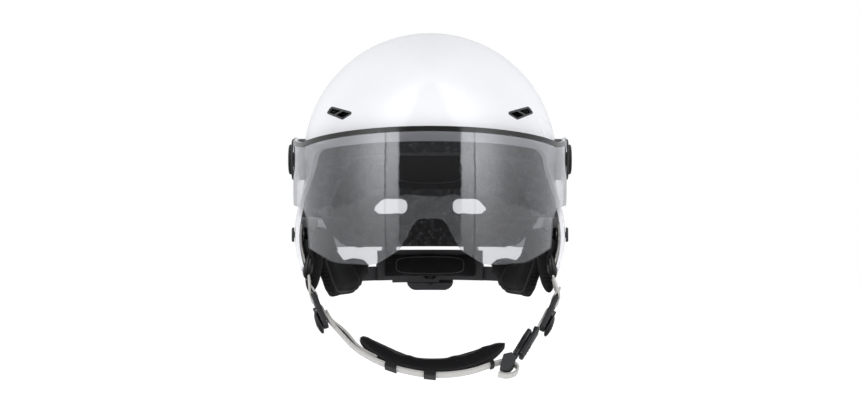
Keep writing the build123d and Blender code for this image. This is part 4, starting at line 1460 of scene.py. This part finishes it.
    def _buckle(self, cabinet: Cabinet) -> None:
        """Both halves of the magnetic buckle as rounded mouldings."""
        cabinet.paint(STEEL, "buckle_magnet_base", "buckle_magnet_slide")
        cabinet.paint(MOULDED, "strap_lock")
        base = [Block(BUCKLE.place(2.2, -2.2), (26.0, 4.0, 20.0), 1.5, 4)]
        base += [Block(BUCKLE.place(-5.5 + 3.0 * k, -4.3), (1.2, 0.8, 13.0), 0.35, 2) for k in range(3)]
        base.append(Block(BUCKLE.place(13.2, -0.9), (3.6, 2.6, 18.6), 1.0, 3))
        finish_piece(moulding("buckle_base_body", base), "root", SATIN, "buckle_base")
        slide = [Block(BUCKLE.place(-1.4, 2.2), (24.0, 4.0, 20.0), 1.5, 4)]
        slide += [Block(BUCKLE.place(-11.0 + 1.9 * k, 4.3), (0.9, 0.8, 14.0), 0.3, 2) for k in range(5)]
        finish_piece(moulding("buckle_slide_body", slide), "chin_set", SATIN, "buckle_slide")
        boss = Dome("buckle_boss", BUCKLE.place(-2.6, 2.2, 10.0), (6.8, 1.55, 1.7)).build()
        finish_piece(boss, "chin_set", MOULDED)
        ring = [BUCKLE.at(2.6 + 7.4 * math.cos(t), 4.25, 5.0 * math.sin(t)) for t in full_turn(40)]
        finish_piece(Tube("buckle_pull_ring", ring, 0.45, closed=True).build(), "chin_set", MOULDED)

    def _loops_and_keeper(self) -> None:
        """The chin pad's elastic loops and the strap's keeper."""
        for node, (u, v, lean) in self.loops.items():
            spot = Divider(u, v, lean)
            ring = [spot.at(0, 3.2, 9.0), spot.at(0, -0.6, 9.9), spot.at(0, -1.9, 8.4), spot.at(0, -1.9, 0),
                    spot.at(0, -1.9, -8.4), spot.at(0, -0.6, -9.9), spot.at(0, 3.2, -9.0)]
            across = spot.at(1, 0) - spot.at(0, 0)
            loop = Ribbon(f"{node}_elastic", ring, across, width=9.5, thick=1.0, rounds=2)
            finish_piece(loop.build(), "chin_set", ELASTIC, node)
        spot = Divider(48.5, -52.5, 20.0)
        ring = [spot.at(0, y, out) for y, out in self.keeper_points]
        keeper = Ribbon("keeper_elastic", ring, spot.at(1, 0) - spot.at(0, 0), width=3.4, thick=0.9, rounds=1)
        finish_piece(keeper.build(), "chin_set", ELASTIC, "strap_keeper")


@dataclass
class NapeFit:
    """The yoke, bands and dial behind the head."""

    dial_z: float = -95.0

    def build(self, cabinet: Cabinet) -> None:
        """Dress the fit system's CAD nodes, and add the dial's rings and the housing's marks."""
        cabinet.paint(MOULDED, "nape_yoke", "dial_housing", "rack_band_left", "rack_band_right")
        cabinet.paint(SATIN, "dial_knob", "dial_pinion")
        self._cap()
        self._scale()

    def _cap(self) -> None:
        """Two rings on the dial's face, with a wheel of spokes between them."""
        face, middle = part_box("dial_knob")[1].y, self.dial_z * MM
        centre = Vector((0, face, middle))
        for name, radius, cord in (("dial_ring_outer", 11.6, 0.5), ("dial_ring_inner", 5.4, 0.6)):
            ring = [Vector((radius * MM * math.cos(t), face, middle + radius * MM * math.sin(t)))
                    for t in full_turn(48)]
            finish_piece(Tube(name, ring, cord, closed=True).build(), "dial", SATIN)
        spokes = [Block(self._round(centre, t, 8.5), (0.8, 0.8, 4.2), 0.3, 2) for t in full_turn(DIAL_SPOKES)]
        finish_piece(moulding("dial_spokes", spokes), "dial", SATIN)

    def _scale(self) -> None:
        """Raised marks on the housing, on both sides of the dial."""
        centre = Vector((0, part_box("dial_housing")[1].y, (self.dial_z - 1.5) * MM))
        marks = [Block(self._round(centre, math.radians(12 * k), 17.6), (0.6, 0.5, 1.6), 0.15, 1)
                 for k in (-4, -3, 3, 4)]
        finish_piece(moulding("housing_marks", marks), "root", MOULDED)

    @staticmethod
    def _round(centre: Vector, turn: float, reach: float) -> Matrix:
        """A place round the dial's axis.

        Args:
            centre: the circle's middle.
            turn: how far round it is, in radians.
            reach: how far out it is, in millimetres.

        Returns:
            The matrix that sets a moulding there.
        """
        spoke = Matrix.Rotation(turn, 4, "Y") @ Matrix.Translation((0, 0, reach * MM))
        return Matrix.Translation(centre) @ spoke


def main() -> None:
    """Load the frame and build every class in order."""
    logging.basicConfig(level=logging.INFO, format="%(name)s: %(message)s")
    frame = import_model()
    cabinet = Cabinet(frame)
    Studio().build()
    for part in (Shell(), Visor(), NapeFit(), Padding(), Harness()):
        part.build(cabinet)
        LOG.info("built %s", type(part).__name__)


if __name__ == "__main__":
    main()
